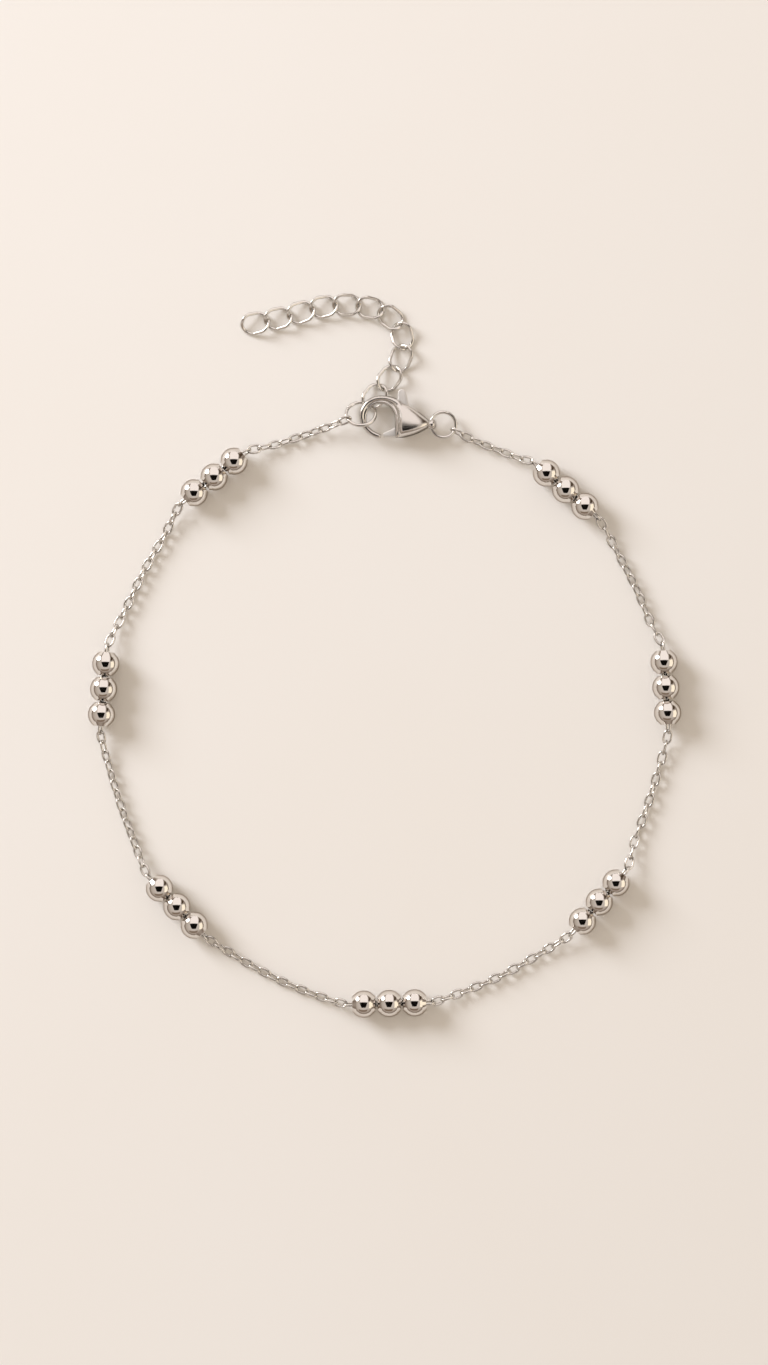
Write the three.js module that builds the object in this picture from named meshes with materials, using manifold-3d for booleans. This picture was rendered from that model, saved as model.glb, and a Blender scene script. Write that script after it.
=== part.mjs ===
/*
 * A beaded anklet, fastened and lying on a level surface, in millimetres with +Z up.
 *
 * A fine cable chain carries seven groups of three drilled round beads. One end of it hangs on a jump
 * ring in the eye of a lobster clasp, and the other on a larger ring that holds an extender chain.
 * The clasp is hooked into that larger ring, so the anklet is a closed loop, and the extender's free
 * end lies beside it. The lever of the clasp turns about the clasp's pin.
 *
 * The chain touches the surface between its beads. Its links are joined where they meet, so that a
 * stretch from one group of beads to the next is one solid. The extender's links are loose.
 */
import * as THREE from "three";
import { mergeVertices } from "three/addons/utils/BufferGeometryUtils.js";
import Module from "manifold-3d";

const wasm = await Module();
wasm.setup();

/* Driving dimensions */

/** The clearance between pieces that hook into each other, and that of the lever in its slot. */
const CLEARANCE = 0.1;

/** A drilled round bead, and how three of them sit together. */
const BEAD = {
  diameter: 3.0,
  boreClearance: 0.13,
  spacing: 0.22,
  perGroup: 3,
  sides: 10,
  arcSteps: 4,
};

/**
 * The flat strip through a group of beads: the bar beyond each of its eyes, how deep its hooks lie in
 * the beads, its thickness, and the room that a link's wire has in an eye along and across the strip.
 */
const CORE = {
  bridge: 0.26,
  inset: 0.4,
  thickness: 0.19,
  endRoom: 0.13,
  startRoom: 0.15,
  sideRoom: 0.12,
  flare: 0.05,
};

/** The fine cable chain: its links lie flat and on edge by turns. */
const CHAIN = {
  wire: 0.28,
  linkWidth: 1.15,
  pitch: 1.38,
  sink: 0.022,
  sides: 5,
  lift: 0.03,
  fall: 5.0,
  lead: 1.0,
};

/** The extender chain: each link is twisted, so that all of them lie flat. */
const EXTENDER = {
  wire: 0.38,
  linkWidth: 2.6,
  pitch: 2.62,
  twist: 36,
  roundness: 0.7,
  firstRoll: 5,
  steps: 10,
  sides: 5,
};

/** The larger ring that carries the extender, leaning where the clasp's hook passes through it. */
const EXTENDER_RING = {
  wire: 0.38,
  diameter: 3.65,
  x: -2.58,
  y: 29.85,
  tilt: 35,
  lift: -0.01,
  chainAngle: 207,
  extenderAngle: 62,
  steps: 10,
  sides: 5,
};

/** The jump ring in the clasp's eye, sloping down to the chain. */
const JUMP_RING = {
  wire: 0.38,
  diameter: 3.2,
  tilt: 10,
  chainAngle: -27,
  steps: 10,
  sides: 5,
};

/**
 * The lobster clasp, placed by the middle of its round opening: the shell's length from there to the
 * neck and its greatest width, the hook's width, and the slot and mouth for the lever.
 */
const CLASP = {
  x: -0.38,
  y: 29.41,
  shellLength: 5.3,
  shellWidth: 4.6,
  bodyHeight: 2.9,
  hookWidth: 0.94,
  holeRadius: 1.57,
  mouthTop: -1.1,
  mouthBottom: -2.57,
  shellEdge: 2.2,
  slotHeight: 0.9,
  sides: 8,
  openingSteps: 8,
};

/**
 * The shell of the clasp from its neck to the opening: how far along it is as a share of the shell's
 * length, the places of its upper and lower outline as shares of its width, and its height as a share
 * of the body's height.
 */
const SHELL_SECTIONS = [
  { along: 1.0, top: -0.04, bottom: -0.235, height: 0.36 },
  { along: 0.877, top: 0.078, bottom: -0.326, height: 0.6 },
  { along: 0.736, top: 0.187, bottom: -0.413, height: 0.84 },
  { along: 0.585, top: 0.309, bottom: -0.47, height: 1.0 },
  { along: 0.434, top: 0.43, bottom: -0.493, height: 1.0 },
  { along: 0.245, top: 0.509, bottom: -0.493, height: 0.86 },
];

/**
 * The hook, by angle in degrees round the opening: how far outside the opening it starts and its
 * width, as shares of the hook's width, and its height as a share of the body's height.
 */
const HOOK_SECTIONS = [
  { angle: 28, start: 0, width: 0.96, height: 0.7 },
  { angle: 52, start: 0, width: 0.98, height: 0.55 },
  { angle: 76, start: 0, width: 0.97, height: 0.31 },
  { angle: 100, start: 0, width: 0.96, height: 0.265 },
  { angle: 124, start: 0, width: 0.98, height: 0.265 },
  { angle: 148, start: 0, width: 1.0, height: 0.265 },
  { angle: 174, start: 0, width: 0.89, height: 0.265 },
  { angle: 200, start: 0, width: 0.79, height: 0.265 },
  { angle: 226, start: 0.02, width: 0.68, height: 0.26 },
  { angle: 248, start: 0.085, width: 0.64, height: 0.255 },
  { angle: 270, start: 0.16, width: 0.53, height: 0.22 },
];

/** The eye beyond the clasp's neck, a knob with a cross hole for the jump ring. */
const EYE = {
  reach: 0.38,
  y: -0.74,
  length: 1.04,
  width: 1.24,
  height: 1.3,
  hole: 0.7,
  holeInset: 0.1,
  rows: 6,
};

/** The clasp's lever, turning about a pin that is one with the clasp's body. */
const LEVER = {
  pivotX: 2.5,
  pivotY: -1.13,
  pin: 0.5,
  eye: 1.24,
  swing: 22,
  thickness: 0.7,
  stemWidth: 1.2,
  tabWidth: 0.86,
  tabTop: 3.2,
  tipGap: 0.16,
  gateTip: 0.4,
  gateTipHeight: 0.4,
  gateBottom: -2.14,
  curveSteps: 4,
};

/**
 * The loop's route over the surface, seen from above, from the extender down the left side, along the
 * bottom and up the right side to the clasp: each group of beads by its middle and its heading in
 * degrees, with how far the links after it lean over, and the points that the chain passes between.
 */
const ROUTE = [
  { name: "extender", lean: 0 },
  { x: -8.27, y: 27.73 },
  { x: -12.94, y: 26.24 },
  { name: "upper_left", x: -18.88, y: 22.84, heading: 218.4, lean: 0 },
  { x: -24.29, y: 16.64 },
  { x: -26.68, y: 12.5 },
  { x: -28.61, y: 8.44 },
  { name: "left", x: -31.16, y: -0.73, heading: 265.2, lean: 45 },
  { x: -30.56, y: -9.5 },
  { x: -29.22, y: -13.94 },
  { x: -27.78, y: -17.83 },
  { name: "lower_left", x: -23.03, y: -24.92, heading: 313.2, lean: 25 },
  { x: -17.89, y: -29.61 },
  { x: -14.89, y: -31.44 },
  { x: -10.22, y: -33.78 },
  { name: "bottom", x: 0.58, y: -35.67, heading: 361.4, lean: 0 },
  { x: 7.89, y: -34.78 },
  { x: 12.78, y: -32.78 },
  { x: 17.22, y: -30.28 },
  { name: "lower_right", x: 23.92, y: -24.4, heading: 408.9, lean: -25 },
  { x: 27.78, y: -18.06 },
  { x: 29.0, y: -14.72 },
  { x: 30.11, y: -11.39 },
  { name: "right", x: 31.32, y: -0.54, heading: 454.1, lean: -45 },
  { x: 29.89, y: 6.17 },
  { x: 28.44, y: 9.72 },
  { x: 26.22, y: 14.06 },
  { name: "upper_right", x: 20.19, y: 21.42, heading: 499.2, lean: 30 },
  { x: 15.5, y: 24.78 },
  { x: 12.56, y: 25.94 },
  { x: 10.11, y: 26.89 },
  { name: "clasp" },
];

/** The points that the extender passes, from its ring to its free end. */
const EXTENDER_ROUTE = [
  { x: 1.5, y: 35.1 },
  { x: 2.35, y: 37.65 },
  { x: 1.6, y: 40.05 },
  { x: -0.45, y: 41.5 },
  { x: -5.7, y: 42.08 },
  { x: -10.8, y: 40.75 },
  { x: -15.6, y: 39.75 },
];

const SILVER = 0xdcd8d2;
const RHODIUM = 0xe4e1dd;

/* Sizes that follow from them */

const UP = new THREE.Vector3(0, 0, 1);
const QUARTER_TURN = Math.PI / 2;
const beadBore = (CHAIN.linkWidth + 2 * BEAD.boreClearance) / Math.cos(Math.PI / BEAD.sides);
const beadLength = Math.sqrt(BEAD.diameter ** 2 - beadBore ** 2);
const beadPitch = beadLength + BEAD.spacing;
const beadAxisHeight = BEAD.diameter / 2;
const hookToHook = (BEAD.perGroup - 1) * beadPitch + beadLength - 2 * CORE.inset;
const chainHeight = CHAIN.linkWidth / 2 + CHAIN.lift;
const claspHeight = CLASP.bodyHeight / 2;
const eyeX = CLASP.shellLength + EYE.reach;
const eyeHoleX = eyeX - EYE.holeInset;

/* Solids */

/** A material of its own for each mesh. */
function metal(color, roughness) {
  return new THREE.MeshStandardMaterial({ color, metalness: 1, roughness });
}

/** The radius of a regular polygon's corners that gives it the area of a circle. */
function cornerRadius(diameter, sides) {
  const shareOfCircle = (sides * Math.sin((2 * Math.PI) / sides)) / (2 * Math.PI);
  return diameter / 2 / Math.sqrt(shareOfCircle);
}

/** Only the positions of a geometry, with its doubled vertices merged. */
function closed(geometry) {
  geometry.deleteAttribute("normal");
  geometry.deleteAttribute("uv");
  return mergeVertices(geometry, 1e-5);
}

/** A closed geometry as a solid that can be joined and cut. */
function toSolid(geometry) {
  const shell = closed(geometry);
  return new wasm.Manifold(new wasm.Mesh({
    numProp: 3,
    vertProperties: new Float32Array(shell.attributes.position.array),
    triVerts: new Uint32Array(shell.index.array),
  }));
}

/** A joined or cut solid as a geometry again. */
function toGeometry(solid) {
  const mesh = solid.getMesh();
  const geometry = new THREE.BufferGeometry();
  geometry.setAttribute("position", new THREE.BufferAttribute(mesh.vertProperties, 3));
  geometry.setIndex(new THREE.BufferAttribute(mesh.triVerts, 1));
  return geometry;
}

/** The joining of several solids. */
function joined(solids) {
  return solids.reduce((whole, solid) => whole.add(solid));
}

/**
 * A closed ring of wire through corner points round its own middle. The wire's section is a regular
 * polygon with a corner towards the middle.
 */
function wireRing(corners, wire, sides) {
  const count = corners.length;
  const geometry = new THREE.TorusGeometry(2, 1, sides, count);
  const radius = cornerRadius(wire, sides);
  const frames = corners.map((corner, index) => {
    const before = corners[(index + count - 1) % count];
    const after = corners[(index + 1) % count];
    const arriving = corner.clone().sub(before).normalize();
    const leaving = after.clone().sub(corner).normalize();
    const along = arriving.clone().add(leaving).normalize();
    const inward = corner.clone().negate().projectOnPlane(along).normalize();
    return { corner, inward, side: inward.clone().cross(along), mitre: 1 / along.dot(leaving) };
  });
  const position = geometry.attributes.position;
  for (let index = 0; index < position.count; index += 1) {
    const { corner, inward, side, mitre } = frames[(index % (count + 1)) % count];
    const turn = (Math.floor(index / (count + 1)) / sides) * 2 * Math.PI;
    const place = corner.clone()
      .addScaledVector(inward, Math.cos(turn) * radius * mitre)
      .addScaledVector(side, Math.sin(turn) * radius);
    position.setXYZ(index, place.x, place.y, place.z);
  }
  return geometry;
}

/**
 * A solid lofted through sections with flats at their top, bottom and sides. Each section has a centre,
 * its half width across and its half height up, as vectors.
 */
function loft(sections, sides) {
  const spans = sections.length - 1;
  const geometry = new THREE.CylinderGeometry(1, 1, 1, sides, spans);
  geometry.rotateY(Math.PI / sides);
  const flatToCorner = 1 / Math.cos(Math.PI / sides);
  const position = geometry.attributes.position;
  for (let index = 0; index < position.count; index += 1) {
    const section = sections[Math.round((0.5 - position.getY(index)) * spans)];
    const place = section.centre.clone()
      .addScaledVector(section.across, position.getX(index) * flatToCorner)
      .addScaledVector(section.up, position.getZ(index) * flatToCorner);
    position.setXYZ(index, place.x, place.y, place.z);
  }
  return geometry;
}

/** A flat outline as a plate with its middle at height zero. */
function plate(shape, thickness, curveSegments = 6) {
  const geometry = new THREE.ExtrudeGeometry(shape, {
    depth: thickness,
    bevelEnabled: false,
    curveSegments,
  });
  return geometry.translate(0, 0, -thickness / 2);
}

/* Beads */

/** A bead about the X axis: a sphere's outside with flat ends where it is drilled. */
function beadGeometry() {
  const radius = BEAD.diameter / 2;
  const first = Math.asin(beadBore / BEAD.diameter);
  const profile = [];
  for (let step = 0; step <= BEAD.arcSteps; step += 1) {
    const angle = first + ((Math.PI - 2 * first) * step) / BEAD.arcSteps;
    profile.push(new THREE.Vector2(radius * Math.sin(angle), -radius * Math.cos(angle)));
  }
  profile.push(profile[0].clone());
  const geometry = new THREE.LatheGeometry(profile, BEAD.sides);
  return closed(geometry.rotateZ(-QUARTER_TURN));
}

/** The strip inside a group of beads, along the X axis, with room in each eye for a link's wire. */
function coreGeometry() {
  const hook = hookToHook / 2;
  const eyeEnd = hook + CORE.endRoom;
  const eyeStart = hook - CHAIN.wire - CORE.startRoom;
  const end = eyeEnd + CORE.bridge;
  const eyeHalf = CHAIN.wire / 2 + CORE.sideRoom;
  const halfWidth = (CHAIN.linkWidth - CLEARANCE) / 2;
  const shape = new THREE.Shape()
    .moveTo(-end, -halfWidth)
    .lineTo(end, -halfWidth)
    .lineTo(end, halfWidth)
    .lineTo(-end, halfWidth);
  for (const side of [-1, 1]) {
    shape.holes.push(new THREE.Path()
      .moveTo(side * eyeEnd, -eyeHalf - CORE.flare)
      .lineTo(side * eyeEnd, eyeHalf + CORE.flare)
      .lineTo(side * eyeStart, eyeHalf)
      .lineTo(side * eyeStart, -eyeHalf));
  }
  return closed(plate(shape, CORE.thickness));
}

/** A group of beads on its core, with its middle on the route. */
function beadGroup(station) {
  const group = new THREE.Group();
  group.position.set(station.x, station.y, beadAxisHeight);
  group.rotation.z = THREE.MathUtils.degToRad(station.heading);
  const core = new THREE.Mesh(coreGeometry(), metal(SILVER, 0.35));
  core.name = `core_${station.name}`;
  group.add(core);
  for (let index = 0; index < BEAD.perGroup; index += 1) {
    const bead = new THREE.Mesh(beadGeometry(), metal(RHODIUM, 0.06));
    bead.name = `bead_${station.name}_${index + 1}`;
    bead.position.x = (index - (BEAD.perGroup - 1) / 2) * beadPitch;
    group.add(bead);
  }
  return group;
}

/* Rings */

/** A round ring that leans: its middle, its radius to the wire's middle, and its own three axes. */
function leaningRing(size, middle, wireRadius, axis) {
  const turn = new THREE.Quaternion().setFromAxisAngle(axis, THREE.MathUtils.degToRad(size.tilt));
  return {
    middle,
    radius: size.diameter / 2 - wireRadius,
    turn,
    normal: UP.clone().applyQuaternion(turn),
  };
}

/** A direction from the middle of a ring, at an angle in degrees round it. */
function ringDirection(ring, angle) {
  const turned = THREE.MathUtils.degToRad(angle);
  return new THREE.Vector3(Math.cos(turned), Math.sin(turned), 0).applyQuaternion(ring.turn);
}

/** Where a link that leads away in a level direction hooks on to a ring, clear of its wire. */
function ringHook(ring, size, angle, leading) {
  const reach = cornerRadius(size.wire, size.sides) + CLEARANCE;
  return ring.middle.clone()
    .addScaledVector(ringDirection(ring, angle), ring.radius)
    .addScaledVector(leading, -reach);
}

/** The level direction that leads out of a ring, at an angle in degrees round it. */
function levelDirection(ring, angle) {
  return ringDirection(ring, angle).setZ(0).normalize();
}

/** The mesh of a round ring. */
function ringMesh(name, ring, size) {
  const corners = [];
  const cornersReach = ring.radius / Math.cos(Math.PI / size.steps);
  for (let step = 0; step < size.steps; step += 1) {
    const angle = ((step + 0.5) / size.steps) * 2 * Math.PI;
    corners.push(new THREE.Vector3(Math.cos(angle), Math.sin(angle), 0).multiplyScalar(cornersReach));
  }
  const mesh = new THREE.Mesh(closed(wireRing(corners, size.wire, size.sides)), metal(SILVER, 0.12));
  mesh.name = name;
  mesh.position.copy(ring.middle);
  mesh.quaternion.copy(ring.turn);
  return mesh;
}

const extenderRing = leaningRing(
  EXTENDER_RING,
  new THREE.Vector3(EXTENDER_RING.x, EXTENDER_RING.y, claspHeight + EXTENDER_RING.lift),
  EXTENDER_RING.wire / 2,
  new THREE.Vector3(-1, 0, 0),
);

const jumpRingRadius = (JUMP_RING.diameter - JUMP_RING.wire) / 2;
const jumpRingTilt = THREE.MathUtils.degToRad(JUMP_RING.tilt);
const jumpRing = leaningRing(
  JUMP_RING,
  new THREE.Vector3(
    CLASP.x + eyeHoleX + jumpRingRadius * Math.cos(jumpRingTilt),
    CLASP.y + EYE.y,
    claspHeight - jumpRingRadius * Math.sin(jumpRingTilt),
  ),
  JUMP_RING.wire / 2,
  new THREE.Vector3(0, 1, 0),
);

/* The cable chain */

/** A curve over the surface that comes down from its start height and rises to its end height. */
class LaidCurve extends THREE.Curve {
  constructor(plan, startHeight, endHeight, restHeight, fall) {
    super();
    Object.assign(this, { plan, startHeight, endHeight, restHeight, fall });
    this.planLength = plan.getLength();
    this.arcLengthDivisions = 600;
  }

  getPoint(share, target = new THREE.Vector3()) {
    const run = share * this.planLength;
    const down = 1 - THREE.MathUtils.smoothstep(run, 0, this.fall);
    const rise = 1 - THREE.MathUtils.smoothstep(this.planLength - run, 0, this.fall);
    this.plan.getPointAt(share, target);
    target.z = this.restHeight
      + (this.startHeight - this.restHeight) * down
      + (this.endHeight - this.restHeight) * rise;
    return target;
  }
}

/** The frame of each link along a curve: X along the link, Y across it, turned about X by its roll. */
function linkFrames(curve, pitch, startUp, endUp, rollOf) {
  const count = Math.max(2, Math.round(curve.getLength() / pitch));
  const joints = curve.getSpacedPoints(count);
  return joints.slice(1).map((joint, index) => {
    const share = index / (count - 1);
    const along = joint.clone().sub(joints[index]);
    const chord = along.length();
    along.normalize();
    const across = startUp.clone().lerp(endUp, share).projectOnPlane(along).normalize();
    across.applyAxisAngle(along, rollOf(index, share, count));
    const frame = new THREE.Matrix4().makeBasis(along, across, along.clone().cross(across));
    frame.setPosition(joints[index].clone().lerp(joint, 0.5));
    return { frame, chord };
  });
}

/** The corners of a flat link with straight sides and round ends, for wires that sink in a little. */
function cableLinkCorners(pitch) {
  const halfWidth = (CHAIN.linkWidth - CHAIN.wire) / 2;
  const halfLength = (pitch - CHAIN.sink) / 2 + cornerRadius(CHAIN.wire, CHAIN.sides);
  const cut = halfWidth * Math.tan(Math.PI / 8);
  const straight = halfLength - halfWidth + cut;
  const quarter = [[halfLength, cut], [straight, halfWidth]];
  const half = [...quarter, [0, halfWidth], [-straight, halfWidth], [-halfLength, cut]];
  const whole = [...half, ...half.map(([x, y]) => [-x, -y])];
  return whole.map(([x, y]) => new THREE.Vector3(x, y, 0));
}

/** One stretch of chain between two hooks, with its links joined where they touch. */
function chainStretch(from, to, points, lean) {
  const lead = (end, side) => end.hook.clone().addScaledVector(end.direction, side * CHAIN.lead);
  const plan = new THREE.CatmullRomCurve3([
    from.hook,
    lead(from, 1),
    ...points.map(({ x, y }) => new THREE.Vector3(x, y, 0)),
    lead(to, -1),
    to.hook,
  ].map((point) => point.clone().setZ(0)), false, "centripetal");
  const curve = new LaidCurve(plan, from.hook.z, to.hook.z, chainHeight, CHAIN.fall);
  const leaning = THREE.MathUtils.degToRad(lean);
  const rollOf = (index, share, count) => {
    const extraTurn = count % 2 === 0 ? QUARTER_TURN : 0;
    return index * QUARTER_TURN + extraTurn * share + leaning * Math.sin(Math.PI * share);
  };
  const frames = linkFrames(curve, CHAIN.pitch, from.up, to.up, rollOf);
  const meanChord = frames.reduce((sum, { chord }) => sum + chord, 0) / frames.length;
  const link = toSolid(wireRing(cableLinkCorners(meanChord), CHAIN.wire, CHAIN.sides));
  const solid = joined(frames.map(({ frame }) => link.transform(frame.elements)));
  const mesh = new THREE.Mesh(toGeometry(solid), metal(SILVER, 0.15));
  mesh.name = `chain_${from.name}_to_${to.name}`;
  return mesh;
}

/** Both hooks of a group of beads: where the chain comes in and where it goes on. */
function groupHooks(station) {
  const turned = THREE.MathUtils.degToRad(station.heading);
  const direction = new THREE.Vector3(Math.cos(turned), Math.sin(turned), 0);
  const middle = new THREE.Vector3(station.x, station.y, beadAxisHeight);
  const hookAt = (side) => ({
    name: station.name,
    hook: middle.clone().addScaledVector(direction, (side * hookToHook) / 2),
    direction,
    up: UP,
  });
  return { arriving: hookAt(-1), leaving: hookAt(1) };
}

/** All stretches of the loop, from ring to ring. */
function chainStretches() {
  const away = levelDirection(extenderRing, EXTENDER_RING.chainAngle);
  const start = {
    name: "extender",
    hook: ringHook(extenderRing, EXTENDER_RING, EXTENDER_RING.chainAngle, away),
    direction: away,
    up: extenderRing.normal,
  };
  const back = levelDirection(jumpRing, JUMP_RING.chainAngle);
  const end = {
    name: "clasp",
    hook: ringHook(jumpRing, JUMP_RING, JUMP_RING.chainAngle, back),
    direction: back.clone().negate(),
    up: jumpRing.normal,
  };
  const meshes = [];
  let from = start;
  let lean = ROUTE[0].lean;
  let points = [];
  for (const station of ROUTE.slice(1)) {
    if (station.name === undefined) {
      points.push(station);
      continue;
    }
    const hooks = station.name === end.name ? { arriving: end } : groupHooks(station);
    meshes.push(chainStretch(from, hooks.arriving, points, lean));
    from = hooks.leaving;
    lean = station.lean;
    points = [];
  }
  return meshes;
}

/* The extender */

/** The corners of a link whose two ends are twisted opposite ways. */
function twistedLinkCorners(chord) {
  const halfWidth = (EXTENDER.linkWidth - EXTENDER.wire) / 2;
  const halfLength = chord / 2 + cornerRadius(EXTENDER.wire, EXTENDER.sides) + CLEARANCE / 2;
  const stretch = 1 / Math.cos(Math.PI / EXTENDER.steps);
  const twist = THREE.MathUtils.degToRad(EXTENDER.twist);
  const corners = [];
  for (let step = 0; step < EXTENDER.steps; step += 1) {
    const angle = ((step + 0.5) / EXTENDER.steps) * 2 * Math.PI;
    const along = Math.cos(angle);
    const out = Math.sign(Math.sin(angle)) * Math.abs(Math.sin(angle)) ** EXTENDER.roundness * halfWidth;
    const lean = -twist * along;
    corners.push(new THREE.Vector3(
      along * halfLength * stretch,
      out * Math.cos(lean),
      out * Math.sin(lean),
    ));
  }
  return corners;
}

/** The highest that a corner point of a twisted link's wire reaches over the link's middle. */
function twistedLinkReach(geometry) {
  geometry.computeBoundingBox();
  return geometry.boundingBox.max.z;
}

/** The extender's links from its ring to its free end, numbered from the free end. */
function extenderLinks() {
  const [first] = EXTENDER_ROUTE;
  const away = new THREE.Vector3(first.x, first.y, 0).sub(extenderRing.middle).setZ(0).normalize();
  const hook = ringHook(extenderRing, EXTENDER_RING, EXTENDER_RING.extenderAngle, away);
  const flatLink = wireRing(twistedLinkCorners(EXTENDER.pitch), EXTENDER.wire, EXTENDER.sides);
  const restHeight = twistedLinkReach(flatLink);
  const plan = new THREE.CatmullRomCurve3([
    hook.clone().setZ(0),
    ...EXTENDER_ROUTE.map(({ x, y }) => new THREE.Vector3(x, y, 0)),
  ], false, "centripetal");
  const curve = new LaidCurve(plan, hook.z, restHeight, restHeight, CHAIN.fall);
  const firstRoll = THREE.MathUtils.degToRad(EXTENDER.firstRoll);
  const rollOf = (index) => -QUARTER_TURN + (index === 0 ? firstRoll : 0);
  const frames = linkFrames(curve, EXTENDER.pitch, UP, UP, rollOf);
  return frames.map(({ frame, chord }, index) => {
    const geometry = wireRing(twistedLinkCorners(chord), EXTENDER.wire, EXTENDER.sides);
    const mesh = new THREE.Mesh(closed(geometry), metal(SILVER, 0.12));
    mesh.name = `extender_link_${String(frames.length - index).padStart(2, "0")}`;
    mesh.applyMatrix4(frame);
    return mesh;
  });
}

/* The clasp, about the middle of its opening */

/** The clasp's shell, from its neck to the opening. */
function shellSolid() {
  const sections = SHELL_SECTIONS.map(({ along, top, bottom, height }) => ({
    centre: new THREE.Vector3(along * CLASP.shellLength, (top + bottom) / 2 * CLASP.shellWidth, 0),
    across: new THREE.Vector3(0, (bottom - top) / 2 * CLASP.shellWidth, 0),
    up: new THREE.Vector3(0, 0, (height * CLASP.bodyHeight) / 2),
  }));
  return toSolid(loft(sections, CLASP.sides));
}

/** The hook, round the opening from the shell to its tip. */
function hookSolid() {
  const sections = HOOK_SECTIONS.map(({ angle, start, width, height }) => {
    const turned = THREE.MathUtils.degToRad(angle);
    const out = new THREE.Vector3(Math.cos(turned), Math.sin(turned), 0);
    return {
      centre: out.clone().multiplyScalar(CLASP.holeRadius + (start + width / 2) * CLASP.hookWidth),
      across: out.clone().multiplyScalar((-width / 2) * CLASP.hookWidth),
      up: new THREE.Vector3(0, 0, (height * CLASP.bodyHeight) / 2),
    };
  });
  return toSolid(loft(sections, CLASP.sides));
}

/** The round eye at the clasp's end, before it is drilled. */
function eyeSolid() {
  const geometry = new THREE.SphereGeometry(1 / 2, CLASP.sides, EYE.rows);
  geometry.rotateX(QUARTER_TURN).scale(EYE.length, EYE.width, EYE.height);
  return toSolid(geometry.translate(eyeX, EYE.y, 0));
}

/** The cross hole of the eye. */
function eyeHole() {
  const radius = EYE.hole / 2 / Math.cos(Math.PI / CLASP.sides);
  const geometry = new THREE.CylinderGeometry(radius, radius, 2 * EYE.width, CLASP.sides);
  return toSolid(geometry.translate(eyeHoleX, EYE.y, 0));
}

/** The opening inside the hook, with the mouth that the lever closes. */
function openingSolid() {
  const shape = new THREE.Shape()
    .moveTo(CLASP.holeRadius, CLASP.mouthTop)
    .lineTo(CLASP.holeRadius, 0)
    .absarc(0, 0, CLASP.holeRadius, 0, Math.PI, false)
    .lineTo(0, 0)
    .lineTo(LEVER.tipGap / 2, CLASP.mouthBottom)
    .lineTo(CLASP.shellEdge, CLASP.mouthBottom)
    .lineTo(CLASP.shellEdge, CLASP.mouthTop);
  return toSolid(plate(shape, CLASP.bodyHeight * 2, CLASP.openingSteps));
}

/** A point turned with the lever about its pin, by an angle in degrees. */
function turnedWithLever(x, y, angle) {
  const turned = THREE.MathUtils.degToRad(angle);
  return new THREE.Vector2(x, y).rotateAround(new THREE.Vector2(LEVER.pivotX, LEVER.pivotY), turned);
}

/** The edges of the lever's stem at its tab. */
const leverStem = {
  left: LEVER.pivotX - LEVER.stemWidth / 2,
  right: LEVER.pivotX + LEVER.stemWidth / 2,
};

/** The slot inside the shell, as wide as the lever swings. */
function slotSolid() {
  const above = LEVER.tabTop + CLEARANCE;
  const below = CLASP.mouthBottom - CLASP.bodyHeight;
  const eyeRadius = LEVER.eye / 2 + CLEARANCE;
  const raised = turnedWithLever(CLASP.holeRadius, CLASP.mouthTop, -LEVER.swing).y + 2 * CLEARANCE;
  const low = turnedWithLever(LEVER.pivotX + eyeRadius, LEVER.pivotY, -LEVER.swing / 2);
  const high = turnedWithLever(leverStem.right + 2 * CLEARANCE, above, -LEVER.swing);
  const shape = new THREE.Shape()
    .moveTo(leverStem.left - CLEARANCE, above)
    .lineTo(leverStem.left - CLEARANCE, raised)
    .lineTo(CLASP.holeRadius - CLEARANCE, raised)
    .lineTo(CLASP.holeRadius - CLEARANCE, below)
    .lineTo(CLASP.shellEdge + 2 * CLEARANCE, below)
    .lineTo(CLASP.shellEdge + 2 * CLEARANCE, LEVER.pivotY - eyeRadius)
    .lineTo(LEVER.pivotX + eyeRadius, LEVER.pivotY - eyeRadius)
    .lineTo(LEVER.pivotX + eyeRadius, low.y)
    .lineTo(high.x, high.y);
  return toSolid(plate(shape, CLASP.slotHeight));
}

/** The pin that the lever turns on, reaching into both walls of the slot. */
function pinSolid() {
  const wall = (CLASP.bodyHeight - CLASP.slotHeight) / 2;
  const length = CLASP.slotHeight + wall;
  const geometry = new THREE.CylinderGeometry(LEVER.pin / 2, LEVER.pin / 2, length, CLASP.sides);
  return toSolid(geometry.rotateX(QUARTER_TURN).translate(LEVER.pivotX, LEVER.pivotY, 0));
}

/** The clasp's body: shell, hook, eye and pin in one. */
function claspBody() {
  const solid = joined([shellSolid(), hookSolid(), eyeSolid()])
    .subtract(openingSolid())
    .subtract(slotSolid())
    .subtract(eyeHole())
    .add(pinSolid());
  const mesh = new THREE.Mesh(toGeometry(solid), metal(SILVER, 0.12));
  mesh.name = "clasp_body";
  return mesh;
}

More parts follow.
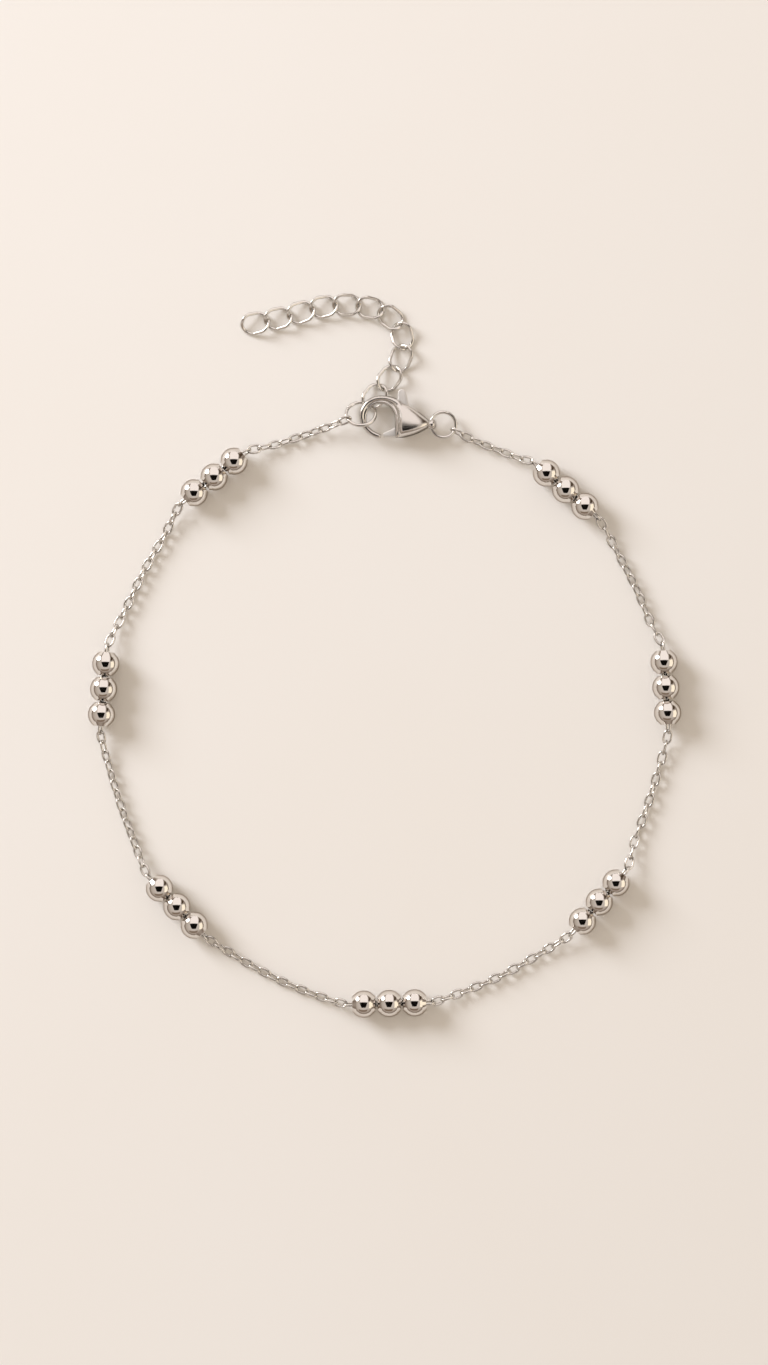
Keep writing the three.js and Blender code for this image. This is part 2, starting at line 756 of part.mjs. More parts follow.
/** The lever: the gate that closes the mouth, the eye on the pin, and the thumb tab. */
function claspLever() {
  const tabRadius = LEVER.tabWidth / 2;
  const tabMiddle = leverStem.left + tabRadius;
  const neck = LEVER.tabTop - 3 * tabRadius;
  const eyeStart = -2 * Math.PI / 3;
  const shape = new THREE.Shape()
    .moveTo(LEVER.gateTip, LEVER.gateBottom)
    .lineTo(CLASP.shellEdge - CLEARANCE, LEVER.gateBottom)
    .absarc(LEVER.pivotX, LEVER.pivotY, LEVER.eye / 2, eyeStart, 0, false)
    .lineTo(leverStem.right, neck)
    .absarc(tabMiddle, LEVER.tabTop - tabRadius, tabRadius, 0, Math.PI, false)
    .lineTo(leverStem.left, CLASP.mouthTop)
    .lineTo(CLASP.holeRadius, CLASP.mouthTop)
    .lineTo(LEVER.gateTip - LEVER.tipGap, LEVER.gateBottom + LEVER.gateTipHeight);
  const hole = new THREE.Path();
  hole.absarc(LEVER.pivotX, LEVER.pivotY, LEVER.pin / 2 + CLEARANCE, 0, 2 * Math.PI, false);
  shape.holes.push(hole);
  const geometry = closed(plate(shape, LEVER.thickness, LEVER.curveSteps));
  const mesh = new THREE.Mesh(geometry, metal(SILVER, 0.15));
  mesh.name = "clasp_lever";
  return mesh;
}

/** The clasp's two pieces where the clasp lies. */
function clasp() {
  const group = new THREE.Group();
  group.position.set(CLASP.x, CLASP.y, claspHeight);
  group.add(claspBody(), claspLever());
  return group;
}

/* The whole anklet, with its origin under the middle of its box */

const anklet = new THREE.Group();
anklet.name = "beaded_anklet";
anklet.add(clasp());
anklet.add(ringMesh("clasp_jump_ring", jumpRing, JUMP_RING));
anklet.add(ringMesh("extender_ring", extenderRing, EXTENDER_RING));
anklet.add(...extenderLinks());
anklet.add(...chainStretches());
anklet.add(...ROUTE.filter(({ heading }) => heading !== undefined).map(beadGroup));

anklet.updateMatrixWorld(true);
const box = new THREE.Box3().setFromObject(anklet, true);
const middle = box.getCenter(new THREE.Vector3());
anklet.position.set(-middle.x, -middle.y, -box.min.z);
anklet.updateMatrixWorld(true);

export default anklet;
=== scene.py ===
"""A fine silver anklet with groups of round beads, fastened and lying on a pale surface.

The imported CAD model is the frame. Every CAD node is replaced by a finished piece in the same place:
drilled beads with rolled rims, the chains' links at their real count, rings, clasp and lever.
"""

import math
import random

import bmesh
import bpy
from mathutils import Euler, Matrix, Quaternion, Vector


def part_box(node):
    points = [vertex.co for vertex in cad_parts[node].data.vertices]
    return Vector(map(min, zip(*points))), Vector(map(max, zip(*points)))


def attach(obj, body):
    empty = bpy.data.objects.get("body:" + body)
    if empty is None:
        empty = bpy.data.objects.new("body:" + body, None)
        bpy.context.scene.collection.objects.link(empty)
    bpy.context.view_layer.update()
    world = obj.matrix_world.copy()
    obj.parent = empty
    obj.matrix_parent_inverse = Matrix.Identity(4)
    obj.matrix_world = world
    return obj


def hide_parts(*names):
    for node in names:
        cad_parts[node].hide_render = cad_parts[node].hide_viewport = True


bl_info = {
    "name": "Beaded Anklet",
    "version": (1, 0, 0),
    "blender": (4, 5, 0),
    "location": "View3D > Sidebar > Anklet",
    "description": "Builds the anklet's beads, chains, rings and clasp, and the stage that they lie on",
    "category": "Add Mesh",
}

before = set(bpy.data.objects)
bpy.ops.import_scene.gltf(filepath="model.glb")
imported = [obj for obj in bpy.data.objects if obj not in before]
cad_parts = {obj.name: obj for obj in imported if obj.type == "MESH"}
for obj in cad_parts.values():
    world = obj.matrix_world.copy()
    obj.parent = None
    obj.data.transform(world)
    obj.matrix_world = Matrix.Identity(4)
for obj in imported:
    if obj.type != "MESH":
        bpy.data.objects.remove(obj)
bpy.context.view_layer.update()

MM = 0.001
UP = Vector((0.0, 0.0, 1.0))
QUARTER_TURN = math.pi / 2
HALF_TURN = math.pi
FULL_TURN = 2 * math.pi

# The route of the loop, in millimetres from the view's middle: a ring's or a group of beads' name or
# None, its place across and up, its heading, and how far the links after it lean, in degrees.
ROUTE = [
    ("extender", None, None, None, 18),
    (None, -8.27, 27.73, None, None),
    (None, -12.94, 26.24, None, None),
    ("upper_left", -18.88, 22.84, 218.4, 18),
    (None, -24.29, 16.64, None, None),
    (None, -26.68, 12.5, None, None),
    (None, -28.61, 8.44, None, None),
    ("left", -31.16, -0.73, 265.2, 45),
    (None, -30.56, -9.5, None, None),
    (None, -29.22, -13.94, None, None),
    (None, -27.78, -17.83, None, None),
    ("lower_left", -23.03, -24.92, 313.2, 25),
    (None, -17.89, -29.61, None, None),
    (None, -14.89, -31.44, None, None),
    (None, -10.22, -33.78, None, None),
    ("bottom", 0.58, -35.67, 361.4, 18),
    (None, 7.89, -34.78, None, None),
    (None, 12.78, -32.78, None, None),
    (None, 17.22, -30.28, None, None),
    ("lower_right", 23.92, -24.4, 408.9, -25),
    (None, 27.78, -18.06, None, None),
    (None, 29.0, -14.72, None, None),
    (None, 30.11, -11.39, None, None),
    ("right", 31.32, -0.54, 454.1, -45),
    (None, 29.89, 6.17, None, None),
    (None, 28.44, 9.72, None, None),
    (None, 26.22, 14.06, None, None),
    ("upper_right", 20.19, 21.42, 499.2, 30),
    (None, 15.5, 24.78, None, None),
    (None, 12.56, 25.94, None, None),
    (None, 10.11, 26.89, None, None),
    ("clasp", None, None, None, None),
]

# The points that the extender passes, from its ring to its free end, in the same millimetres.
EXTENDER_ROUTE = [
    (1.5, 35.1),
    (2.35, 37.65),
    (1.6, 40.05),
    (-0.45, 41.5),
    (-5.7, 42.08),
    (-10.8, 40.75),
    (-15.6, 39.75),
]

# The middle of the clasp's opening, in the same millimetres.
CLASP_MIDDLE = (-0.38, 29.41)


def middle_of(node):
    """The middle of a CAD node's box."""
    low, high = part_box(node)
    return (Vector(low) + Vector(high)) / 2


def size_of(node):
    """The sides of a CAD node's box."""
    low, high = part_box(node)
    return Vector(high) - Vector(low)


# Where the view's middle lies in the frame, from the middle bead of the bottom group.
BOTTOM_BEAD = middle_of("bead_bottom_2")
BOTTOM_PLACE = next(row[1:3] for row in ROUTE if row[0] == "bottom")
VIEW_MIDDLE = BOTTOM_BEAD - Vector((*BOTTOM_PLACE, 0)) * MM
BEAD_HEIGHT = BOTTOM_BEAD.z
CLASP_HEIGHT = middle_of("clasp_body").z


def on_route(x, y, z=0.0):
    """A place given in millimetres from the view's middle, at a height in metres."""
    return Vector((VIEW_MIDDLE.x + x * MM, VIEW_MIDDLE.y + y * MM, z))


def linear(hex_colour):
    """An sRGB hex colour as linear red, green, blue and alpha."""
    values = [int(hex_colour.lstrip("#")[start:start + 2], 16) / 255 for start in (0, 2, 4)]
    curve = [v / 12.92 if v <= 0.04045 else ((v + 0.055) / 1.055) ** 2.4 for v in values]
    return (*curve, 1.0)


# Settings that a user would change

class BeadSettings(bpy.types.PropertyGroup):
    """Sizes of the drilled round beads."""

    diameter: bpy.props.FloatProperty(
        name="Diameter", description="Outer diameter of a bead", default=size_of("bead_bottom_2").z,
        unit="LENGTH", precision=5)
    bore: bpy.props.FloatProperty(
        name="Bore", description="Diameter of the hole through a bead", default=1.48 * MM,
        unit="LENGTH", precision=5)
    rim: bpy.props.FloatProperty(
        name="Rolled rim", description="Width of the rolled rim round the hole", default=0.12 * MM,
        unit="LENGTH", precision=5)
    gap: bpy.props.FloatProperty(
        name="Gap", description="Gap between two beads of a group", default=0.22 * MM,
        unit="LENGTH", precision=5)
    hook_inset: bpy.props.FloatProperty(
        name="Hook inset", description="How far inside a bead the chain's joint lies", default=0.4 * MM,
        unit="LENGTH", precision=5)


class ChainSettings(bpy.types.PropertyGroup):
    """Sizes of the fine cable chain and of the extender chain."""

    wire: bpy.props.FloatProperty(
        name="Wire", description="Wire of the fine chain", default=0.28 * MM,
        unit="LENGTH", precision=5)
    link_width: bpy.props.FloatProperty(
        name="Link width", description="Outer width of a fine link", default=1.15 * MM,
        unit="LENGTH", precision=5)
    pitch: bpy.props.FloatProperty(
        name="Pitch", description="Length that each fine link adds", default=1.156 * MM,
        unit="LENGTH", precision=6)
    lift: bpy.props.FloatProperty(
        name="Lift", description="Room under the fine links", default=0.03 * MM,
        unit="LENGTH", precision=6)
    fall: bpy.props.FloatProperty(
        name="Fall", description="Length over which the chain comes down from a bead", default=5.0 * MM,
        unit="LENGTH", precision=5)
    lead: bpy.props.FloatProperty(
        name="Lead", description="Length that stays in line with a bead's bore", default=1.0 * MM,
        unit="LENGTH", precision=5)
    play: bpy.props.FloatProperty(
        name="Play", description="Room between the wires of two links", default=0.012 * MM,
        unit="LENGTH", precision=6)
    extender_wire: bpy.props.FloatProperty(
        name="Extender wire", description="Wire of the extender's links and of the rings",
        default=0.38 * MM, unit="LENGTH", precision=5)
    extender_width: bpy.props.FloatProperty(
        name="Extender width", description="Outer width of an extender link", default=2.6 * MM,
        unit="LENGTH", precision=5)
    extender_pitch: bpy.props.FloatProperty(
        name="Extender pitch", description="Length that each extender link adds", default=2.62 * MM,
        unit="LENGTH", precision=5)
    extender_twist: bpy.props.FloatProperty(
        name="Extender twist", description="Turn of an extender link's ends", default=math.radians(36),
        subtype="ANGLE")


class ClaspSettings(bpy.types.PropertyGroup):
    """Sizes of the lobster clasp and of the two rings."""

    height: bpy.props.FloatProperty(
        name="Height", description="Height of the clasp's body", default=size_of("clasp_body").z,
        unit="LENGTH", precision=5)
    hole: bpy.props.FloatProperty(
        name="Opening", description="Radius of the clasp's round opening", default=1.57 * MM,
        unit="LENGTH", precision=5)
    voxel: bpy.props.FloatProperty(
        name="Fineness", description="Fineness of the clasp's cast surface", default=0.05 * MM,
        unit="LENGTH", precision=6)
    ring_tilt: bpy.props.FloatProperty(
        name="Extender ring tilt", description="Lean of the ring that the hook holds",
        default=math.radians(35), subtype="ANGLE")
    jump_ring_tilt: bpy.props.FloatProperty(
        name="Jump ring tilt", description="Lean of the ring in the clasp's eye",
        default=math.radians(10), subtype="ANGLE")


class FinishSettings(bpy.types.PropertyGroup):
    """Colours of the finishes."""

    bead: bpy.props.FloatVectorProperty(
        name="Beads", description="Colour of the plated beads", default=linear("#EAE6E1"),
        subtype="COLOR", size=4, min=0.0, max=1.0)
    wire: bpy.props.FloatVectorProperty(
        name="Wire", description="Colour of the drawn wire", default=linear("#EDEAE5"),
        subtype="COLOR", size=4, min=0.0, max=1.0)
    cast: bpy.props.FloatVectorProperty(
        name="Casting", description="Colour of the cast clasp", default=linear("#E0DCD7"),
        subtype="COLOR", size=4, min=0.0, max=1.0)
    sheet: bpy.props.FloatVectorProperty(
        name="Sheet", description="Colour of the stamped lever", default=linear("#E6E2DD"),
        subtype="COLOR", size=4, min=0.0, max=1.0)
    floor: bpy.props.FloatVectorProperty(
        name="Floor", description="Colour of the surface", default=linear("#EEEAE4"),
        subtype="COLOR", size=4, min=0.0, max=1.0)


class StageSettings(bpy.types.PropertyGroup):
    """The camera and the lights."""

    view_height: bpy.props.FloatProperty(
        name="View height", description="Height of what the camera sees, at the beads",
        default=151.7 * MM, unit="LENGTH")
    distance: bpy.props.FloatProperty(
        name="Camera distance", description="Distance from the camera to the beads", default=0.42,
        unit="LENGTH")
    key_power: bpy.props.FloatProperty(
        name="Key", description="Power of the soft light from the upper left", default=10.6,
        unit="POWER")
    ambient: bpy.props.FloatProperty(
        name="Ambient", description="Strength of the light from all round", default=0.63)


# Finishes

def per_metre(millimetres):
    """The scale of a pattern whose features are that many millimetres apart."""
    return 1 / (millimetres * MM)


def add_node(tree, kind, settings=None, inputs=None):
    """Adds a node with its settings, and sets or links its inputs by name or number."""
    node = tree.nodes.new(kind)
    for key, value in (settings or {}).items():
        setattr(node, key, value)
    for key, value in (inputs or {}).items():
        if isinstance(value, bpy.types.NodeSocket):
            tree.links.new(value, node.inputs[key])
        else:
            node.inputs[key].default_value = value
    return node


def new_tree(owner):
    """The node tree of a new material or world, emptied."""
    owner.use_nodes = True
    owner.node_tree.nodes.clear()
    return owner.node_tree


# The polishing scratches are spaced so many millimetres along and drawn out by these shares, turned
# off the axes. Real ones are finer, and are drawn as coarse as they need to show.
SCRATCH_SPACING = 1.2
SCRATCH_SHARES = (1.0, 9.0, 4.0)
SCRATCH_TURN = (0.4, 0.3, 0.8)

# The noise's values lie mostly within this reach of this middle.
NOISE_MIDDLE = 0.5
NOISE_REACH = 0.2

# Painted shade: a dark brown-grey edge tint that darkens what the metal mirrors at a grazing angle,
# which outlines each piece.
BEAD_EDGE = "#8C7B6C"
WIRE_EDGE = "#4A4038"
SHEET_EDGE = "#5A4E44"


def silver(name, colour, edge, roughness, spread, mottle, dents, dent_depth, scratch_depth,
           metallic=1.0):
    """A silver whose roughness is mottled, with shallow dents and fine polishing scratches.

    The mottling and the dents are so many millimetres apart, and the depths are in millimetres too.
    """
    material = bpy.data.materials.new(name)
    tree = new_tree(material)
    place = add_node(tree, "ShaderNodeTexCoord").outputs["Object"]
    cloud = add_node(tree, "ShaderNodeTexNoise", None, {
        "Vector": place, "Scale": per_metre(mottle), "Detail": 3.0, "Roughness": 0.6})
    gloss = add_node(tree, "ShaderNodeMapRange", None, {
        "Value": cloud.outputs["Fac"],
        "From Min": NOISE_MIDDLE - NOISE_REACH, "From Max": NOISE_MIDDLE + NOISE_REACH,
        "To Min": roughness - spread, "To Max": roughness + spread})
    broad = add_node(tree, "ShaderNodeTexNoise", None, {
        "Vector": place, "Scale": per_metre(dents), "Detail": 2.0})
    dented = add_node(tree, "ShaderNodeBump", None, {
        "Height": broad.outputs["Fac"], "Strength": 1.0, "Distance": dent_depth * MM})
    turned = add_node(tree, "ShaderNodeMapping", None, {
        "Vector": place, "Rotation": SCRATCH_TURN, "Scale": SCRATCH_SHARES})
    lines = add_node(tree, "ShaderNodeTexNoise", None, {
        "Vector": turned.outputs["Vector"], "Scale": per_metre(SCRATCH_SPACING), "Detail": 4.0,
        "Roughness": 0.7})
    scratched = add_node(tree, "ShaderNodeBump", None, {
        "Height": lines.outputs["Fac"], "Strength": 1.0, "Distance": scratch_depth * MM,
        "Normal": dented.outputs["Normal"]})
    # The edge tint paints shade into the grazing reflections, which outlines each piece.
    shader = add_node(tree, "ShaderNodeBsdfPrincipled", None, {
        "Base Color": colour, "Metallic": metallic, "Specular Tint": linear(edge),
        "Roughness": gloss.outputs["Result"], "Normal": scratched.outputs["Normal"]})
    add_node(tree, "ShaderNodeOutputMaterial", None, {"Surface": shader.outputs["BSDF"]})
    return material


def plated_bead_silver():
    """Rhodium over hollow silver balls, barrel polished: mirror bright, with a faint haze."""
    return silver("rhodium_plated_bead", bpy.context.scene.anklet_finish.bead, BEAD_EDGE,
                  roughness=0.07, spread=0.02, mottle=0.9, dents=1.6, dent_depth=0.004,
                  scratch_depth=0.0006)


def drawn_wire_silver():
    """Drawn silver wire, soldered and tumbled: bright, with a softer gloss than the beads."""
    return silver("drawn_silver_wire", bpy.context.scene.anklet_finish.wire, WIRE_EDGE,
                  roughness=0.1, spread=0.03, mottle=0.5, dents=0.8, dent_depth=0.004,
                  scratch_depth=0.001)


def cast_silver():
    """Cast silver, tumble polished: a smooth skin with a satin gloss and slight waves."""
    return silver("tumbled_cast_silver", bpy.context.scene.anklet_finish.cast, WIRE_EDGE,
                  roughness=0.19, spread=0.03, mottle=0.7, dents=2.2, dent_depth=0.008,
                  scratch_depth=0.0012)


def stamped_silver():
    """Silver sheet frosted white by the pickle, as stamped levers are: it scatters light softly."""
    return silver("frosted_sheet_silver", bpy.context.scene.anklet_finish.sheet, SHEET_EDGE,
                  roughness=0.38, spread=0.06, mottle=0.3, dents=0.6, dent_depth=0.003,
                  scratch_depth=0.001, metallic=0.62)


# The floor's clouds: how many millimetres apart, and the shares of the floor's colour that they keep.
FLOOR_CLOUD = 60
FLOOR_WARMTH = (0.985, 0.965, 0.935, 1.0)
FLOOR_ROUGHNESS = 0.5
FLOOR_SHEEN = 0.3


def honed_surface():
    """A honed pale surface: almost matt, with a faint sheen and barely clouded colour."""
    colour = bpy.context.scene.anklet_finish.floor
    material = bpy.data.materials.new("honed_pale_surface")
    tree = new_tree(material)
    place = add_node(tree, "ShaderNodeTexCoord").outputs["Object"]
    cloud = add_node(tree, "ShaderNodeTexNoise", None, {
        "Vector": place, "Scale": per_metre(FLOOR_CLOUD), "Detail": 4.0, "Roughness": 0.55})
    warmer = tuple(channel * shade for channel, shade in zip(colour, FLOOR_WARMTH))
    mixed = add_node(tree, "ShaderNodeMix", {"data_type": "RGBA"}, {
        0: cloud.outputs["Fac"], 6: colour, 7: warmer})
    shader = add_node(tree, "ShaderNodeBsdfPrincipled", None, {
        "Base Color": mixed.outputs[2], "Roughness": FLOOR_ROUGHNESS,
        "Specular IOR Level": FLOOR_SHEEN})
    add_node(tree, "ShaderNodeOutputMaterial", None, {"Surface": shader.outputs["BSDF"]})
    return material


FINISHES = {}


def finish_named(name, maker):
    """A finish that is made once and shared by all pieces that have it."""
    if name not in FINISHES:
        FINISHES[name] = maker()
    return FINISHES[name]


# Making pieces

def as_mesh(name, shape):
    """A bmesh as a plain mesh."""
    mesh = bpy.data.meshes.new(name)
    shape.to_mesh(mesh)
    shape.free()
    return mesh


def as_object(name, shape):
    """A bmesh as an object in the scene."""
    item = bpy.data.objects.new(name, as_mesh(name, shape))
    bpy.context.scene.collection.objects.link(item)
    return item


def add_piece(name, shape, finish, nodes, body="anklet"):
    """Turns a bmesh into a smooth piece that replaces CAD nodes and rides on a body."""
    piece = as_object(name, shape)
    piece.data.shade_smooth()
    piece.data.materials.append(finish)
    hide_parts(*nodes)
    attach(piece, body)
    return piece


def wire_loop(length, width, wire, steps, sides, seam=0.0, bow=0.0):
    """A loop of round wire in the XY plane, longer along X than across.

    Its sides are straight, or bow outward to an oval as the bow rises from 0 to 0.5. With a seam,
    the loop is open by that width, as a bent ring's ends are.
    """
    shape = bmesh.new()
    radius = (width - wire) / 2
    section = bmesh.ops.create_circle(shape, segments=sides, radius=wire / 2)["verts"]
    half_seam = seam / 2 / radius if seam else HALF_TURN / steps
    start = Matrix.Rotation(half_seam, 4, "Z") @ Matrix.Translation((radius, 0, 0))
    bmesh.ops.transform(shape, verts=section, matrix=start @ Matrix.Rotation(QUARTER_TURN, 4, "X"))
    ends = [edge for edge in shape.edges]
    bmesh.ops.spin(
        shape, geom=section + ends, cent=(0, 0, 0), axis=(0, 0, 1),
        angle=FULL_TURN - 2 * half_seam if seam else FULL_TURN, steps=steps, use_merge=not seam)
    if seam:
        bmesh.ops.holes_fill(shape, edges=[edge for edge in shape.edges if edge.is_boundary])
    stretch = (length - width) / 2
    for vert in shape.verts:
        facing = abs(vert.co.x) / math.hypot(vert.co.x, vert.co.y)
        vert.co.x += math.copysign(stretch * facing ** bow, vert.co.x)
    bmesh.ops.recalc_face_normals(shape, faces=shape.faces)
    return shape


def add_copy(shape, pattern, matrix):
    """Adds a transformed copy of a pattern mesh to a bmesh."""
    known = len(shape.verts)
    shape.from_mesh(pattern)
    shape.verts.ensure_lookup_table()
    bmesh.ops.transform(shape, matrix=matrix, verts=shape.verts[known:])


# Curves over the surface

# The shortest span that a curve is worked out over, in metres.
SHORTEST = 1e-9


def centripetal(points, samples=60):
    """Points on a centripetal Catmull-Rom curve through the given ones."""
    first = points[0] * 2 - points[1]
    last = points[-1] * 2 - points[-2]
    held = [first, *points, last]
    path = []
    for index in range(1, len(held) - 2):
        near = held[index - 1:index + 3]
        before, start, end, after = near
        spans = [max((b - a).length, SHORTEST) ** 0.5 for a, b in zip(near, near[1:])]
        leaving = ((start - before) / spans[0] - (end - before) / (spans[0] + spans[1])
                   + (end - start) / spans[1]) * spans[1]
        arriving = ((end - start) / spans[1] - (after - start) / (spans[1] + spans[2])
                    + (after - end) / spans[2]) * spans[1]
        for step in range(samples):
            t = step / samples
            bend = 2 * start - 2 * end + leaving + arriving
            rise = -3 * start + 3 * end - 2 * leaving - arriving
            path.append(((bend * t + rise) * t + leaving) * t + start)
    path.append(points[-1].copy())
    return path


def spaced(path, count):
    """Points that divide a path into equal lengths."""
    reached = [0.0]
    for a, b in zip(path, path[1:]):
        reached.append(reached[-1] + (b - a).length)
    found = []
    index = 0
    for step in range(count + 1):
        goal = reached[-1] * step / count
        while index < len(path) - 2 and reached[index + 1] < goal:
            index += 1
        span = reached[index + 1] - reached[index]
        found.append(path[index].lerp(path[index + 1], (goal - reached[index]) / span))
    return found


def smoothstep(value, limit):
    """A smooth rise from 0 to 1 between 0 and the limit."""
    share = min(max(value / limit, 0.0), 1.0)
    return share * share * (3 - 2 * share)


def laid(plan_points, start_height, end_height, rest_height, fall):
    """A path over the surface that comes down from its start and rises to its end."""
    flat = centripetal([Vector((p.x, p.y, 0)) for p in plan_points])
    run = [0.0]
    for a, b in zip(flat, flat[1:]):
        run.append(run[-1] + (b - a).length)
    for point, gone in zip(flat, run):
        down = 1 - smoothstep(gone, fall)
        rise = 1 - smoothstep(run[-1] - gone, fall)
        point.z = rest_height + (start_height - rest_height) * down + (end_height - rest_height) * rise
    return flat


def path_length(path):
    """The length of a path."""
    return sum((b - a).length for a, b in zip(path, path[1:]))


def link_frames(path, count, start_up, end_up, roll_of):
    """For each link: its matrix, with X along it and Y across it, and its chord."""
    joints = spaced(path, count)
    frames = []
    for index in range(count):
        share = index / max(count - 1, 1)
        along = joints[index + 1] - joints[index]
        chord = along.length
        along.normalize()
        across = start_up.lerp(end_up, share)
        across = (across - along * across.dot(along)).normalized()
        across.rotate(Quaternion(along, roll_of(index, share)))
        basis = Matrix((along, across, along.cross(across))).transposed().to_4x4()
        frames.append((Matrix.Translation(joints[index].lerp(joints[index + 1], 0.5)) @ basis, chord))
    return frames


# Beads

BEADS_IN_GROUP = 3

# How finely a bead is turned, where its rim meets the ball, and how deep the bore's wall goes.
MERGE_DISTANCE = 1e-8
BALL_STEPS = 36
RIM_STEPS = 6
BEAD_STEPS = 56
RIM_MEETS = math.radians(20)
BORE_DEPTH = 0.35 * MM
BEAD_SEED = 7


def bead_shape(settings):
    """A hollow drilled bead about the X axis, its wall rolled into a rim round each hole."""
    shape = bmesh.new()
    radius = settings.diameter / 2
    bore = settings.bore / 2
    curl = settings.rim / 2
    rim_radius = bore + curl
    half_length = math.sqrt(radius ** 2 - (bore + settings.rim) ** 2) + curl
    shoulder = math.acos((rim_radius + curl * math.cos(RIM_MEETS)) / radius)
    outline = []
    for step in range(BALL_STEPS + 1):
        angle = shoulder + (HALF_TURN - 2 * shoulder) * step / BALL_STEPS
        outline.append((radius * math.cos(angle), radius * math.sin(angle)))
    for side in (-1, 1):
        lip = []
        for step in range(RIM_STEPS + 1):
            angle = RIM_MEETS + (HALF_TURN - RIM_MEETS) * step / RIM_STEPS
            lip.append((side * (half_length - curl + curl * math.sin(angle)),
                        rim_radius + curl * math.cos(angle)))
        lip.append((side * (half_length - BORE_DEPTH), bore))
        outline = outline + lip if side < 0 else lip[::-1] + outline
    verts = [shape.verts.new((x, 0, r)) for x, r in outline]
    edges = [shape.edges.new(pair) for pair in zip(verts, verts[1:])]
    bmesh.ops.spin(
        shape, geom=verts + edges, cent=(0, 0, 0), axis=(1, 0, 0), angle=FULL_TURN,
        steps=BEAD_STEPS, use_merge=True)
    bmesh.ops.bridge_loops(shape, edges=[edge for edge in shape.edges if edge.is_boundary])
    bmesh.ops.remove_doubles(shape, verts=shape.verts, dist=MERGE_DISTANCE)
    bmesh.ops.recalc_face_normals(shape, faces=shape.faces)
    return shape


class ANKLET_OT_beads(bpy.types.Operator):
    """Makes the round beads, in their groups along the route"""

    bl_idname = "anklet.beads"
    bl_label = "Beads"

    def execute(self, context):
        """Turns one bead into each place, with its drilled axis along the group."""
        settings = context.scene.anklet_beads
        finish = finish_named("bead", plated_bead_silver)
        pattern = as_mesh("bead_pattern", bead_shape(settings))
        chance = random.Random(BEAD_SEED)
        for name, _, _, heading, _ in ROUTE:
            if heading is None:
                continue
            for index in range(1, BEADS_IN_GROUP + 1):
                node = f"bead_{name}_{index}"
                roll = chance.uniform(0, FULL_TURN)
                turn = Euler((roll, 0, math.radians(heading))).to_matrix().to_4x4()
                shape = bmesh.new()
                add_copy(shape, pattern, Matrix.Translation(middle_of(node)) @ turn)
                add_piece(f"round_bead_{name}_{index}", shape, finish, [node])
        return {"FINISHED"}


# Rings

# The two rings by name: their CAD nodes, their outer diameters, and the angles round each at which
# the chain hooks on and the seam lies. The extender hooks on to its ring at an angle of its own.
RING_NODES = {"extender": "extender_ring", "clasp": "clasp_jump_ring"}
RING_DIAMETERS = {"extender": 3.65 * MM, "clasp": 3.2 * MM}
RING_CHAIN_ANGLES = {"extender": math.radians(207), "clasp": math.radians(-27)}
RING_SEAM_ANGLES = {"extender": math.radians(150), "clasp": math.radians(75)}
EXTENDER_HOOK_ANGLE = math.radians(62)
SEAM = 0.03 * MM
RING_STEPS = 72
RING_SIDES = 20


def ring_turn(name):
    """How a ring leans."""
    settings = bpy.context.scene.anklet_clasp
    if name == "extender":
        return Quaternion((-1, 0, 0), settings.ring_tilt)
    return Quaternion((0, 1, 0), settings.jump_ring_tilt)


def ring_hook(name, angle, settings):
    """Where a link that leads level out of a ring hooks on, and the level direction it leads in."""
    spoke = Vector((math.cos(angle), math.sin(angle), 0))
    spoke.rotate(ring_turn(name))
    leading = Vector((spoke.x, spoke.y, 0)).normalized()
    radius = (RING_DIAMETERS[name] - settings.extender_wire) / 2
    reach = settings.extender_wire / 2 + settings.play
    return middle_of(RING_NODES[name]) + spoke * radius - leading * reach, leading


class ANKLET_OT_rings(bpy.types.Operator):
    """Makes the ring that the clasp holds and the jump ring in the clasp's eye"""

    bl_idname = "anklet.rings"
    bl_label = "Rings"

    def execute(self, context):
        """Bends each ring from wire, with the fine seam where its ends meet."""
        wire = context.scene.anklet_chain.extender_wire
        finish = finish_named("wire", drawn_wire_silver)
        for name, node in RING_NODES.items():
            diameter = RING_DIAMETERS[name]
            pattern = as_mesh(
                "ring_pattern", wire_loop(diameter, diameter, wire, RING_STEPS, RING_SIDES, SEAM))
            seam_turn = Matrix.Rotation(RING_SEAM_ANGLES[name], 4, "Z")
            shape = bmesh.new()
            leaning = ring_turn(name).to_matrix().to_4x4()
            add_copy(shape, pattern, Matrix.Translation(middle_of(node)) @ leaning @ seam_turn)
            add_piece(f"bent_{node}", shape, finish, [node])
        return {"FINISHED"}


# The fine chain

def group_hook(row, side, beads):
    """Where the chain hooks on at one side of a group of beads, and the group's direction."""
    name, _, _, heading, _ = row
    turned = math.radians(heading)
    direction = Vector((math.cos(turned), math.sin(turned), 0))
    bead_length = math.sqrt(beads.diameter ** 2 - beads.bore ** 2)
    reach = bead_length * BEADS_IN_GROUP / 2 + beads.gap - beads.hook_inset
    return middle_of(f"bead_{name}_2") + direction * side * reach, direction


def ring_end(name, settings):
    """Where the chain hooks on to a ring, the direction that leads out of it, and its normal."""
    place, leading = ring_hook(name, RING_CHAIN_ANGLES[name], settings)
    normal = UP.copy()
    normal.rotate(ring_turn(name))
    return place, leading, normal


# How far the first link inside a group of beads is turned, how finely a link is bent and how oval it
# is, how far the links lean near the beads, and how unevenly.
CHAIN_SEED = 3
THREADED_TURN = 1.5 * QUARTER_TURN
LINK_STEPS = 16
LINK_SIDES = 6
LINK_BOW = 0.45
REST_LEAN = math.radians(16)
WOBBLE = math.radians(5)


def odd_count(length, pitch):
    """The odd number of links that comes closest, so that both end links stand on edge."""
    return 2 * round((length / pitch - 1) / 2) + 1


